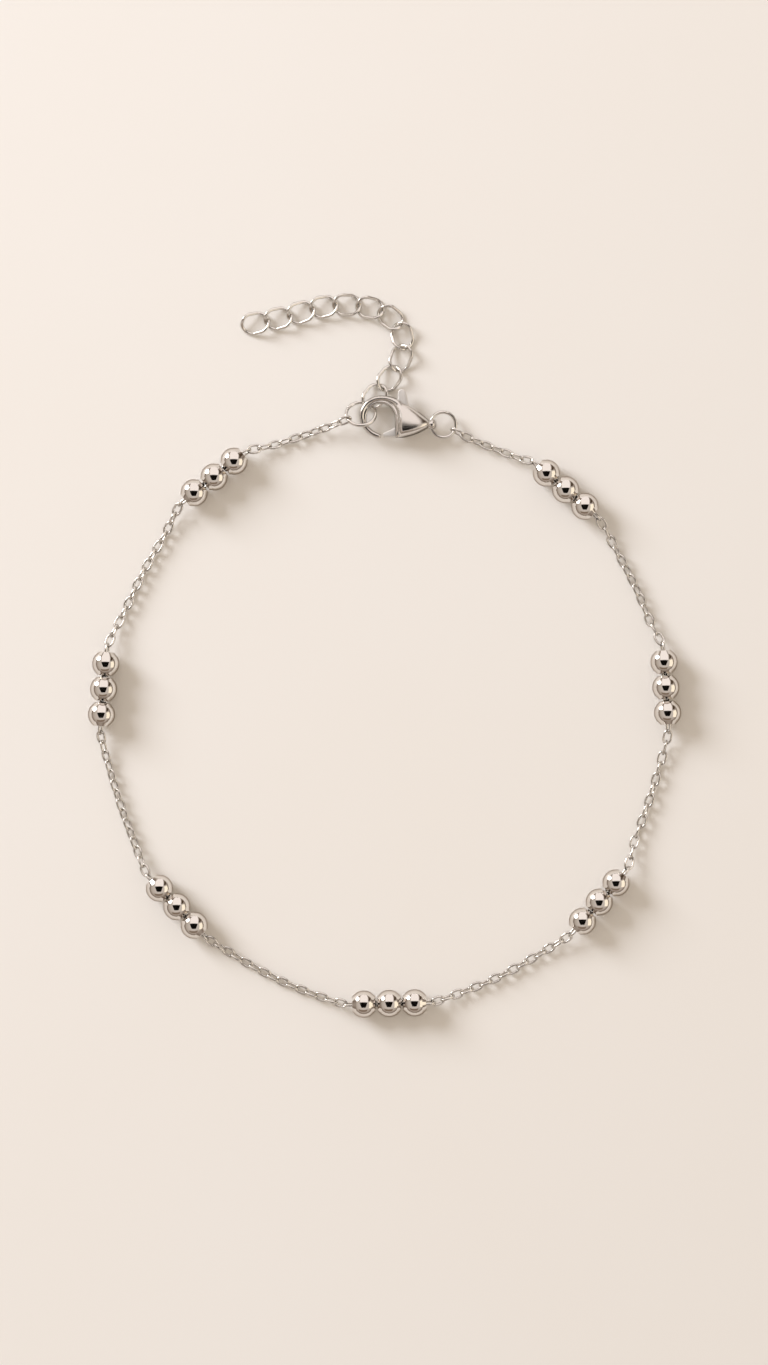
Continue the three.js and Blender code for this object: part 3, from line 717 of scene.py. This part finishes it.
def stretch_shape(frames, settings):
    """The links of one stretch as one mesh."""
    chord = sum(size for _, size in frames) / len(frames)
    length = chord + 2 * settings.wire + settings.play
    pattern = as_mesh("link_pattern", wire_loop(
        length, settings.link_width, settings.wire, LINK_STEPS, LINK_SIDES, bow=LINK_BOW))
    shape = bmesh.new()
    for matrix, _ in frames:
        add_copy(shape, pattern, matrix)
    return shape


class ANKLET_OT_chain(bpy.types.Operator):
    """Makes the fine cable chain between the groups of beads and through them"""

    bl_idname = "anklet.chain"
    bl_label = "Fine Chain"

    def execute(self, context):
        """Lays each stretch along the route, and a straight one through each group."""
        self.settings = context.scene.anklet_chain
        self.beads = context.scene.anklet_beads
        self.finish = finish_named("wire", drawn_wire_silver)
        self.chance = random.Random(CHAIN_SEED)
        rest = self.settings.link_width / 2 + self.settings.lift
        start = ring_end("extender", self.settings)
        origin, _, _, _, lean = ROUTE[0]
        points = []
        for row in ROUTE[1:]:
            name, x, y, heading, next_lean = row
            if name is None:
                points.append(on_route(x, y))
                continue
            if heading is None:
                place, leading, normal = ring_end(name, self.settings)
                end = (place, -leading, normal)
            else:
                place, direction = group_hook(row, -1, self.beads)
                end = (place, direction, UP)
            self.lay(origin, name, start, end, points, rest, math.radians(lean))
            if heading is None:
                break
            place, direction = group_hook(row, 1, self.beads)
            self.thread(name, end[0], place)
            start = (place, direction, UP)
            origin = name
            lean = next_lean
            points = []
        return {"FINISHED"}

    def lay(self, origin, name, start, end, points, rest, lean):
        """Makes one stretch between two hooks, which lies on the surface in between."""
        lead = self.settings.lead
        plan = [start[0], start[0] + start[1] * lead, *points, end[0] - end[1] * lead, end[0]]
        path = laid(plan, start[0].z, end[0].z, rest, self.settings.fall)
        count = odd_count(path_length(path), self.settings.pitch)

        def roll_of(index, share):
            swing = math.sin(HALF_TURN * share)
            wobble = self.chance.uniform(-WOBBLE, WOBBLE)
            return index * QUARTER_TURN + REST_LEAN + (lean - REST_LEAN) * swing + wobble

        frames = link_frames(path, count, start[2], end[2], roll_of)
        shape = stretch_shape(frames, self.settings)
        node = f"chain_{origin}_to_{name}"
        add_piece(f"cable_{node}", shape, self.finish, [node])

    def thread(self, name, start, end):
        """Makes the links that pass through a group of beads."""
        path = [start, end]
        count = odd_count(path_length(path), self.settings.pitch)
        frames = link_frames(
            path, count, UP, UP, lambda index, share: index * QUARTER_TURN + THREADED_TURN)
        shape = stretch_shape(frames, self.settings)
        add_piece(f"threaded_chain_{name}", shape, self.finish, [f"core_{name}"])


# The extender

EXTENDER_STEPS = 64
EXTENDER_SIDES = 16
FIRST_LINK_ROLL = math.radians(5)


class ANKLET_OT_extender(bpy.types.Operator):
    """Makes the extender's twisted links, from the ring to the free end"""

    bl_idname = "anklet.extender"
    bl_label = "Extender"

    def execute(self, context):
        """Bends each link, twists its ends opposite ways, and lays it on the route."""
        settings = context.scene.anklet_chain
        finish = finish_named("wire", drawn_wire_silver)
        hook, _ = ring_hook("extender", EXTENDER_HOOK_ANGLE, settings)
        rest = middle_of("extender_link_05").z
        plan = [hook, *(on_route(x, y) for x, y in EXTENDER_ROUTE)]
        path = laid(plan, hook.z, rest, rest, settings.fall)
        count = round(path_length(path) / settings.extender_pitch)
        frames = link_frames(
            path, count, UP, UP,
            lambda index, share: -QUARTER_TURN + (FIRST_LINK_ROLL if index == 0 else 0))
        for index, (matrix, chord) in enumerate(frames):
            length = chord + 2 * settings.extender_wire + settings.play
            shape = wire_loop(
                length, settings.extender_width, settings.extender_wire,
                EXTENDER_STEPS, EXTENDER_SIDES)
            for vert in shape.verts:
                twist = settings.extender_twist * vert.co.x / (length / 2)
                vert.co.rotate(Quaternion((1, 0, 0), -twist))
            bmesh.ops.transform(shape, matrix=matrix, verts=shape.verts)
            node = f"extender_link_{count - index:02d}"
            add_piece(f"twisted_{node}", shape, finish, [node])
        return {"FINISHED"}


# The clasp, in millimetres about the middle of its opening

# The shell from its neck to the opening: how far along, its upper and lower outline, the line of
# its crest and its height as a share of the clasp's.
SHELL = [
    (5.36, -0.26, -1.06, -0.66, 0.4),
    (5.1, -0.02, -1.22, -0.76, 0.56),
    (4.65, 0.34, -1.46, -0.92, 0.74),
    (4.1, 0.78, -1.74, -1.08, 0.87),
    (3.5, 1.22, -1.96, -1.22, 0.95),
    (2.95, 1.6, -2.1, -1.32, 0.99),
    (2.5, 1.88, -2.21, -1.36, 1.0),
    (2.3, 1.98, -2.25, -1.35, 0.96),
    (2.13, 1.99, -2.26, -1.3, 0.87),
    (1.98, 1.98, -2.26, -1.25, 0.73),
    (1.86, 1.93, -2.24, -1.2, 0.54),
]

# The hook by angle in degrees round the opening: its inner and outer radius, and its height as a
# share of the clasp's.
HOOK = [
    (2, 2.16, 2.7, 0.72),
    (18, 2.08, 2.85, 0.66),
    (36, 1.97, 2.93, 0.58),
    (56, 1.9, 2.72, 0.49),
    (78, 1.88, 2.52, 0.4),
    (100, 1.86, 2.47, 0.33),
    (125, 1.86, 2.48, 0.285),
    (150, 1.85, 2.45, 0.28),
    (175, 1.82, 2.4, 0.275),
    (195, 1.74, 2.32, 0.275),
    (218, 1.61, 2.24, 0.27),
    (244, 1.64, 2.25, 0.262),
    (258, 1.7, 2.29, 0.25),
    (268, 1.78, 2.28, 0.2),
    (272, 1.9, 2.18, 0.1),
]

# The rounded rim of the opening, from low on the hook, over the top and down the shell's end: the
# middle line's place across and up, its width, and its height as a share of the clasp's.
RIM = [
    (-1.6, -0.72, 0.3, 0.13),
    (-1.73, -0.32, 0.38, 0.19),
    (-1.76, 0.2, 0.4, 0.205),
    (-1.52, 0.88, 0.4, 0.21),
    (-0.95, 1.48, 0.4, 0.22),
    (-0.2, 1.755, 0.4, 0.26),
    (0.55, 1.68, 0.42, 0.34),
    (1.2, 1.3, 0.47, 0.44),
    (1.62, 0.76, 0.53, 0.54),
    (1.82, 0.1, 0.56, 0.62),
    (1.86, -0.7, 0.58, 0.67),
    (1.86, -1.5, 0.58, 0.68),
    (1.86, -2.18, 0.56, 0.6),
]


def superellipse(angle, power):
    """A point on a superellipse of half sides 1."""
    across = math.cos(angle)
    upward = math.sin(angle)
    return (math.copysign(abs(across) ** (2 / power), across),
            math.copysign(abs(upward) ** (2 / power), upward))


def loft(sections, sides):
    """A closed skin through sections, each a function of the angle round it."""
    shape = bmesh.new()
    ring = bmesh.ops.create_circle(shape, segments=sides, radius=1.0)["verts"]
    edges = shape.edges[:]
    for number, section in enumerate(sections):
        if number:
            grown = bmesh.ops.extrude_edge_only(shape, edges=edges)["geom"]
            old_ring = ring
            fresh = {item for item in grown if isinstance(item, bmesh.types.BMVert)}
            ring = [next(edge.other_vert(vert) for edge in vert.link_edges
                         if edge.other_vert(vert) in fresh) for vert in old_ring]
            edges = [item for item in grown if isinstance(item, bmesh.types.BMEdge)
                     and item.verts[0] in fresh and item.verts[1] in fresh]
        for index, vert in enumerate(ring):
            vert.co = section(FULL_TURN * index / sides)
    bmesh.ops.holes_fill(shape, edges=[edge for edge in shape.edges if edge.is_boundary])
    bmesh.ops.recalc_face_normals(shape, faces=shape.faces)
    return shape


def between(rows, steps):
    """The rows of a table with rows between them, worked out by Catmull-Rom weights."""
    dense = []
    for index in range(len(rows) - 1):
        last = min(index + 2, len(rows) - 1)
        near = [rows[max(index - 1, 0)], rows[index], rows[index + 1], rows[last]]
        for step in range(steps):
            t = step / steps
            weights = (-t / 2 + t * t - t ** 3 / 2, 1 - 2.5 * t * t + 1.5 * t ** 3,
                       t / 2 + 2 * t * t - 1.5 * t ** 3, -t * t / 2 + t ** 3 / 2)
            dense.append(tuple(sum(w * value for w, value in zip(weights, column))
                               for column in zip(*near)))
    dense.append(rows[-1])
    return dense


# How rounded the sections are, where 2 is an ellipse, and where the hook's crest lies across it.
SHELL_POWER = 2.05
HOOK_POWER = 2.15
RIM_POWER = 2.2
HOOK_CREST = 0.52

# The shell's end bends round the opening at this radius, which fades over this length, in millimetres.
SHELL_ROUND = 2.15
SHELL_FOLLOWS = 1.6


def shell_section(row, height):
    """The outline of the shell at one place along it, with its crest off its middle.

    Near the opening the section bends round it.
    """
    along, top, bottom, crest, share = row
    following = 1 - smoothstep(along - SHELL[-1][0], SHELL_FOLLOWS)

    def place(angle):
        across, upward = superellipse(angle, SHELL_POWER)
        reach = top - crest if across > 0 else crest - bottom
        beside = crest + across * reach
        bend = SHELL_ROUND - math.sqrt(SHELL_ROUND ** 2 - max(beside, 0.0) ** 2)
        return Vector(((along - bend * following) * MM, beside * MM, upward * share * height / 2))

    return place


def hook_section(row, height):
    """The outline of the hook at one angle, with its crest near the opening."""
    angle, inner, outer, share = row
    turned = math.radians(angle)
    spoke = Vector((math.cos(turned), math.sin(turned), 0))
    crest = inner + (outer - inner) * HOOK_CREST

    def place(around):
        across, upward = superellipse(around, HOOK_POWER)
        reach = outer - crest if across > 0 else crest - inner
        return spoke * ((crest + across * reach) * MM) + UP * (upward * share * height / 2)

    return place


def rim_section(rows, index, height):
    """The outline of the opening's rim at one place along it."""
    x, y, width, share = rows[index]
    before = rows[max(index - 1, 0)]
    after = rows[min(index + 1, len(rows) - 1)]
    along = Vector((after[0] - before[0], after[1] - before[1], 0)).normalized()

    def place(around):
        out, upward = superellipse(around, RIM_POWER)
        middle = Vector((x, y, 0)) + UP.cross(along) * (out * width / 2)
        return middle * MM + UP * (upward * share * height / 2)

    return place


def plate(outline, thickness):
    """A flat plate from its outline in millimetres, with its middle at height zero."""
    shape = bmesh.new()
    verts = [shape.verts.new((x * MM, y * MM, -thickness / 2)) for x, y in outline]
    face = shape.faces.new(verts)
    grown = bmesh.ops.extrude_face_region(shape, geom=[face])["geom"]
    lifted = [item for item in grown if isinstance(item, bmesh.types.BMVert)]
    bmesh.ops.translate(shape, verts=lifted, vec=(0, 0, thickness))
    bmesh.ops.recalc_face_normals(shape, faces=shape.faces)
    return shape


def arc(centre, radius, start, end, steps):
    """Points on an arc, in millimetres, by its angles in degrees."""
    found = []
    for step in range(steps + 1):
        angle = math.radians(start + (end - start) * step / steps)
        found.append((centre[0] + radius * math.cos(angle), centre[1] + radius * math.sin(angle)))
    return found


def with_modifier(item, kind, settings):
    """The object's mesh after one modifier is applied."""
    modifier = item.modifiers.new("step", kind)
    for key, value in settings.items():
        setattr(modifier, key, value)
    graph = bpy.context.evaluated_depsgraph_get()
    mesh = bpy.data.meshes.new_from_object(item.evaluated_get(graph))
    item.modifiers.clear()
    item.data = mesh


def combined(base, others, operation):
    """Joins or cuts the base object with others, which are then deleted.

    The solver also resolves where a skin crosses itself, so that each cut comes out the same.
    """
    for other in others:
        with_modifier(base, "BOOLEAN", {
            "operation": operation, "object": other, "solver": "EXACT", "use_self": True})
        bpy.data.objects.remove(other)


# The lever's pivot and thickness, and the slot that it turns in.
LEVER_PIVOT = (2.5, -1.13)
LEVER_THICKNESS = 0.7 * MM
SLOT_HEIGHT = 0.9 * MM
SLOT_OUTLINE = [
    (1.8, 3.3), (1.8, -0.5), (1.3, -0.5), (1.3, -3.0), (2.4, -3.0), (2.4, -1.88),
    (3.25, -1.88), (3.36, -1.1), (3.78, -0.2), (4.38, 1.3), (4.75, 3.3),
]
PIN_RADIUS = 0.25 * MM
PIN_LENGTH = SLOT_HEIGHT * 1.5
PIN_HOLE_RADIUS = 0.35 * MM

# The eye's middle and its three diameters in millimetres, and the hole across it.
EYE_MIDDLE = (5.68, -0.74)
EYE_SIZE = (1.04, 1.2, 1.3)
EYE_HOLE_ALONG = 5.6
EYE_HOLE_RADIUS = 0.3 * MM
EYE_HOLE_LENGTH = 3 * MM

# How far down the opening is cut for the gate, and the points by which the cut passes the hook's end.
OPENING_FOOT = -3.0
OPENING_BY_HOOK = [(0.0, -0.4), (0.1, OPENING_FOOT)]

# How finely the sections and rods are cut, and how often the cast surface is smoothed.
SHELL_STEPS = 4
SHELL_SIDES = 64
HOOK_STEPS = 5
HOOK_SIDES = 40
CLASP_RIM_STEPS = 4
CLASP_RIM_SIDES = 24
OPENING_STEPS = 48
PIN_SIDES = 40
ROUND_SIDES = 32
EYE_RINGS = 20
CAST_SMOOTHINGS = 6


def pin_rod(radius, height):
    """An upright rod at the lever's pivot."""
    rod = bmesh.new()
    pivot = Matrix.Translation((LEVER_PIVOT[0] * MM, LEVER_PIVOT[1] * MM, 0))
    bmesh.ops.create_cone(
        rod, cap_ends=True, segments=PIN_SIDES, radius1=radius, radius2=radius, depth=height,
        matrix=pivot)
    return rod


def eye_ball():
    """The rounded eye at the clasp's neck."""
    ball = bmesh.new()
    bmesh.ops.create_uvsphere(ball, u_segments=ROUND_SIDES, v_segments=EYE_RINGS, radius=0.5 * MM)
    bmesh.ops.scale(ball, verts=ball.verts, vec=EYE_SIZE)
    bmesh.ops.translate(ball, verts=ball.verts, vec=(EYE_MIDDLE[0] * MM, EYE_MIDDLE[1] * MM, 0))
    return ball


def eye_hole():
    """The rod that drills the eye across."""
    rod = bmesh.new()
    place = Matrix.Translation((EYE_HOLE_ALONG * MM, EYE_MIDDLE[1] * MM, 0))
    bmesh.ops.create_cone(
        rod, cap_ends=True, segments=ROUND_SIDES, radius1=EYE_HOLE_RADIUS, radius2=EYE_HOLE_RADIUS,
        depth=EYE_HOLE_LENGTH, matrix=place @ Matrix.Rotation(QUARTER_TURN, 4, "X"))
    return rod


def clasp_solid(settings):
    """The clasp's body, joined from shell, hook, rim and eye, cut and remeshed like a casting."""
    height = settings.height
    hole = settings.hole / MM
    base = as_object("shell", loft(
        [shell_section(row, height) for row in between(SHELL, SHELL_STEPS)], SHELL_SIDES))
    hook = as_object("hook", loft(
        [hook_section(row, height) for row in between(HOOK, HOOK_STEPS)], HOOK_SIDES))
    rows = between(RIM, CLASP_RIM_STEPS)
    rim = as_object("rim", loft(
        [rim_section(rows, index, height) for index in range(len(rows))], CLASP_RIM_SIDES))
    combined(base, [hook, rim, as_object("eye", eye_ball())], "UNION")
    edge = [(hole, OPENING_FOOT), *arc((0, 0), hole, 0, 180, OPENING_STEPS), *OPENING_BY_HOOK]
    cutters = [as_object("opening", plate(edge, height * 2)), as_object("eye_hole", eye_hole()),
               as_object("slot", plate(SLOT_OUTLINE, SLOT_HEIGHT))]
    combined(base, cutters, "DIFFERENCE")
    combined(base, [as_object("pin", pin_rod(PIN_RADIUS, PIN_LENGTH))], "UNION")
    with_modifier(base, "REMESH", {"mode": "VOXEL", "voxel_size": settings.voxel})
    shape = bmesh.new()
    shape.from_mesh(base.data)
    bpy.data.objects.remove(base)
    for _ in range(CAST_SMOOTHINGS):
        bmesh.ops.smooth_vert(
            shape, verts=shape.verts, factor=0.5, use_axis_x=True, use_axis_y=True, use_axis_z=True)
    return shape


def set_in_clasp(shape):
    """Moves a shape that was made about the opening's middle to the clasp's place."""
    place = Matrix.Translation(on_route(*CLASP_MIDDLE, CLASP_HEIGHT))
    bmesh.ops.transform(shape, matrix=place, verts=shape.verts)
    bmesh.ops.recalc_face_normals(shape, faces=shape.faces)


class ANKLET_OT_clasp_body(bpy.types.Operator):
    """Makes the clasp's body: shell, hook, rim, eye and the lever's pin"""

    bl_idname = "anklet.clasp_body"
    bl_label = "Clasp Body"

    def execute(self, context):
        """Casts the body and sets it in its place."""
        shape = clasp_solid(context.scene.anklet_clasp)
        set_in_clasp(shape)
        finish = finish_named("cast", cast_silver)
        add_piece("cast_clasp_body", shape, finish, ["clasp_body"])
        return {"FINISHED"}


# The lever's outline: along the gate's foot, round the pin, up to the thumb tab and back down.
LEVER_EYE_RADIUS = 0.62
TAB_MIDDLE = (2.36, 2.75)
TAB_RADIUS = 0.44
LEVER_OUTLINE = [
    (0.34, -2.14),
    (2.1, -2.14),
    *arc(LEVER_PIVOT, LEVER_EYE_RADIUS, -120, 0, 10),
    (3.1, 1.7),
    *arc(TAB_MIDDLE, TAB_RADIUS, 10, 160, 12),
    (1.9, -1.1),
    (1.57, -1.1),
    (0.26, -1.74),
]
LEVER_BEVEL = 0.1 * MM
LEVER_BEVEL_STEPS = 3

# Edges sharper than the first angle are bevelled, and past the second they stay crisp.
SHARP = math.radians(50)
CREASE = math.radians(40)


class ANKLET_OT_clasp_lever(bpy.types.Operator):
    """Makes the clasp's lever: the gate, the eye round the pin and the thumb tab"""

    bl_idname = "anklet.clasp_lever"
    bl_label = "Clasp Lever"

    def execute(self, context):
        """Stamps the lever from sheet and rounds its edges."""
        blank = as_object("blank", plate(LEVER_OUTLINE, LEVER_THICKNESS))
        combined(blank, [as_object("punch", pin_rod(PIN_HOLE_RADIUS, SLOT_HEIGHT))], "DIFFERENCE")
        shape = bmesh.new()
        shape.from_mesh(blank.data)
        bpy.data.objects.remove(blank)
        sharp = [edge for edge in shape.edges if edge.calc_face_angle(0) > SHARP]
        bmesh.ops.bevel(
            shape, geom=sharp, offset=LEVER_BEVEL, segments=LEVER_BEVEL_STEPS, profile=0.5,
            affect="EDGES", material=-1)
        set_in_clasp(shape)
        piece = add_piece(
            "stamped_clasp_lever", shape, finish_named("stamped", stamped_silver),
            ["clasp_lever"], "lever")
        piece.data.set_sharp_from_angle(angle=CREASE)
        return {"FINISHED"}


# The stage

# What a bead mirrors, by the corners of each card as they show on a bead seen from above, in shares
# of the bead's radius to the right and up; then the card's colour and how strongly it glows.
CARDS = {
    "key_card": (
        [(-0.64, 0.3), (-0.53, 0.22), (-0.41, 0.27), (-0.36, 0.4), (-0.42, 0.52), (-0.56, 0.5)],
        "#FFFFFF", 7.0),
    "window_card": (
        [(-0.27, 0.15), (0.29, 0.15), (0.3, 0.45), (0.24, 0.7), (-0.22, 0.7), (-0.3, 0.45)],
        "#FBF1EC", 1.12),
    "camera_card": ([(-0.31, 0.12), (-0.16, -0.25), (0.13, -0.25), (0.27, 0.12)], "#0E0C0B", 0.0),
    "cream_card": (
        [(0.36, -0.3), (0.58, -0.3), (0.64, 0.0), (0.58, 0.2), (0.38, 0.12)], "#FFF1DC", 1.25),
    "side_card": ([(0.34, 0.2), (0.5, 0.25), (0.52, 0.42), (0.36, 0.55)], "#6E5847", 0.5),
    "low_card": ([(-0.36, -0.36), (-0.3, -0.5), (0.2, -0.52), (0.28, -0.36)], "#8C7868", 0.9),
}

# How far off the cards and the tent hang, in metres.
CARD_DISTANCE = 0.8
TENT_RADIUS = 1.6
TENT_SIDES = 48
TENT_RINGS = 24

# The tent's shade from the surface up, as shares of its height with the colour there.
TENT_SHADES = [
    (0.0, "#7C6C5F"),
    (0.12, "#8E7F73"),
    (0.25, "#AC9F94"),
    (0.42, "#BFB3A8"),
    (0.75, "#CFC4BB"),
    (1.0, "#D8CEC6"),
]

# The key light stands this far from straight up, on this bearing from +X, at this distance in metres.
KEY_FROM_UP = math.radians(63)
KEY_BEARING = math.radians(145)
KEY_DISTANCE = 1.0
KEY_SIZE = 0.5
KEY_COLOUR = "#F0F4FF"
AMBIENT_COLOUR = "#FFF2E4"
FLOOR_SIZE = 4.0
SENSOR_HEIGHT = 36.0
CLIP_START = 0.01


def stage_direction(from_up, bearing):
    """A direction by its angle from straight up and its bearing from +X."""
    level = math.sin(from_up)
    return Vector((level * math.cos(bearing), level * math.sin(bearing), math.cos(from_up)))


def card_material(name, colour, strength):
    """A card that glows evenly, or a matt one where it has no strength."""
    material = bpy.data.materials.new(name)
    tree = new_tree(material)
    if strength:
        shader = add_node(tree, "ShaderNodeEmission", None, {
            "Color": linear(colour), "Strength": strength})
        surface = shader.outputs["Emission"]
    else:
        shader = add_node(tree, "ShaderNodeBsdfDiffuse", None, {"Color": linear(colour)})
        surface = shader.outputs["BSDF"]
    add_node(tree, "ShaderNodeOutputMaterial", None, {"Surface": surface})
    return material


def add_stage_object(name, shape, material, mirrored_only=False):
    """A bmesh as an object of the stage, which may be there for reflections alone."""
    item = as_object(name, shape)
    item.data.materials.append(material)
    if mirrored_only:
        item.visible_camera = False
        item.visible_diffuse = False
        item.visible_shadow = False
    return item


def mirrored_direction(right, up):
    """The direction that a bead seen from above mirrors at a place given in shares of its radius."""
    return stage_direction(2 * math.asin(math.hypot(right, up)), math.atan2(up, right))


class ANKLET_OT_stage(bpy.types.Operator):
    """Makes the surface, the camera above it, the soft light and the cards that the metal reflects"""

    bl_idname = "anklet.stage"
    bl_label = "Stage"

    def execute(self, context):
        """Sets up the camera, the floor, the lights and the surroundings."""
        settings = context.scene.anklet_stage
        self.place_camera(context, settings)
        context.scene.view_settings.view_transform = "Standard"
        ground = bmesh.new()
        bmesh.ops.create_grid(ground, x_segments=1, y_segments=1, size=FLOOR_SIZE / 2)
        add_stage_object("floor", ground, honed_surface())
        self.hang_tent()
        self.place_cards()
        self.place_key(context, settings)
        self.fill_world(context, settings)
        return {"FINISHED"}

    def place_camera(self, context, settings):
        """The camera looks straight down at the view's middle."""
        camera = bpy.data.cameras.new("camera")
        camera.sensor_fit = "VERTICAL"
        camera.sensor_height = SENSOR_HEIGHT
        camera.lens = camera.sensor_height * settings.distance / settings.view_height
        camera.clip_start = CLIP_START
        item = bpy.data.objects.new("camera", camera)
        item.location = (VIEW_MIDDLE.x, VIEW_MIDDLE.y, BEAD_HEIGHT + settings.distance)
        context.scene.collection.objects.link(item)
        context.scene.camera = item

    def hang_tent(self):
        """A silk tent, dark at its foot, which only reflections see."""
        shape = bmesh.new()
        bmesh.ops.create_uvsphere(
            shape, u_segments=TENT_SIDES, v_segments=TENT_RINGS, radius=TENT_RADIUS)
        bmesh.ops.bisect_plane(
            shape, geom=[*shape.verts, *shape.edges, *shape.faces], plane_co=(0, 0, 0),
            plane_no=(0, 0, -1), clear_outer=True)
        material = bpy.data.materials.new("silk_tent")
        tree = new_tree(material)
        place = add_node(tree, "ShaderNodeTexCoord").outputs["Object"]
        height = add_node(tree, "ShaderNodeSeparateXYZ", None, {0: place}).outputs["Z"]
        share = add_node(tree, "ShaderNodeMapRange", None, {"Value": height, "From Max": TENT_RADIUS})
        ramp = add_node(tree, "ShaderNodeValToRGB", None, {"Fac": share.outputs["Result"]})
        stops = ramp.color_ramp.elements
        for stop, (position, colour) in zip(stops, (TENT_SHADES[0], TENT_SHADES[-1])):
            stop.position = position
            stop.color = linear(colour)
        for position, colour in TENT_SHADES[1:-1]:
            stops.new(position).color = linear(colour)
        shader = add_node(tree, "ShaderNodeEmission", None, {"Color": ramp.outputs["Color"]})
        add_node(tree, "ShaderNodeOutputMaterial", None, {"Surface": shader.outputs["Emission"]})
        add_stage_object("silk_tent", shape, material, mirrored_only=True)

    def place_cards(self):
        """The cards hang round the anklet, and only reflections see them."""
        for name, (corners, colour, strength) in CARDS.items():
            shape = bmesh.new()
            shape.faces.new([shape.verts.new(mirrored_direction(*corner) * CARD_DISTANCE)
                             for corner in corners])
            add_stage_object(name, shape, card_material(name, colour, strength), mirrored_only=True)

    def place_key(self, context, settings):
        """The soft light from the upper left."""
        light = bpy.data.lights.new("key", "AREA")
        light.shape = "DISK"
        light.size = KEY_SIZE
        light.energy = settings.key_power
        light.color = linear(KEY_COLOUR)[:3]
        item = bpy.data.objects.new("key", light)
        direction = stage_direction(KEY_FROM_UP, KEY_BEARING)
        item.location = direction * KEY_DISTANCE
        item.rotation_euler = direction.to_track_quat("Z", "Y").to_euler()
        item.visible_glossy = False
        context.scene.collection.objects.link(item)

    def fill_world(self, context, settings):
        """Warm even light from all round."""
        world = bpy.data.worlds.new("studio")
        context.scene.world = world
        tree = new_tree(world)
        background = add_node(tree, "ShaderNodeBackground", None, {
            "Color": linear(AMBIENT_COLOUR), "Strength": settings.ambient})
        add_node(tree, "ShaderNodeOutputWorld", None, {"Surface": background.outputs["Background"]})


# The panel and the registration

OPERATORS = [
    ANKLET_OT_stage,
    ANKLET_OT_beads,
    ANKLET_OT_rings,
    ANKLET_OT_chain,
    ANKLET_OT_extender,
    ANKLET_OT_clasp_body,
    ANKLET_OT_clasp_lever,
]
SETTINGS = {
    "anklet_beads": BeadSettings,
    "anklet_chain": ChainSettings,
    "anklet_clasp": ClaspSettings,
    "anklet_finish": FinishSettings,
    "anklet_stage": StageSettings,
}


class ANKLET_PT_panel(bpy.types.Panel):
    """Lists the anklet's settings and pieces"""

    bl_idname = "ANKLET_PT_panel"
    bl_label = "Beaded Anklet"
    bl_space_type = "VIEW_3D"
    bl_region_type = "UI"
    bl_category = "Anklet"

    def draw(self, context):
        """Shows each group of settings, then a button for each operator."""
        for name, group in SETTINGS.items():
            box = self.layout.box()
            for key in group.__annotations__:
                box.prop(getattr(context.scene, name), key)
        for operator in OPERATORS:
            self.layout.operator(operator.bl_idname)


def register():
    """Registers the settings, the operators and the panel."""
    for name, group in SETTINGS.items():
        bpy.utils.register_class(group)
        setattr(bpy.types.Scene, name, bpy.props.PointerProperty(type=group))
    for item in [*OPERATORS, ANKLET_PT_panel]:
        bpy.utils.register_class(item)


def unregister():
    """Takes them out again."""
    for item in [ANKLET_PT_panel, *reversed(OPERATORS)]:
        bpy.utils.unregister_class(item)
    for name, group in SETTINGS.items():
        delattr(bpy.types.Scene, name)
        bpy.utils.unregister_class(group)


def main():
    """Builds everything in order."""
    register()
    for operator in OPERATORS:
        category, action = operator.bl_idname.split(".")
        getattr(getattr(bpy.ops, category), action)()


if __name__ == "__main__":
    main()
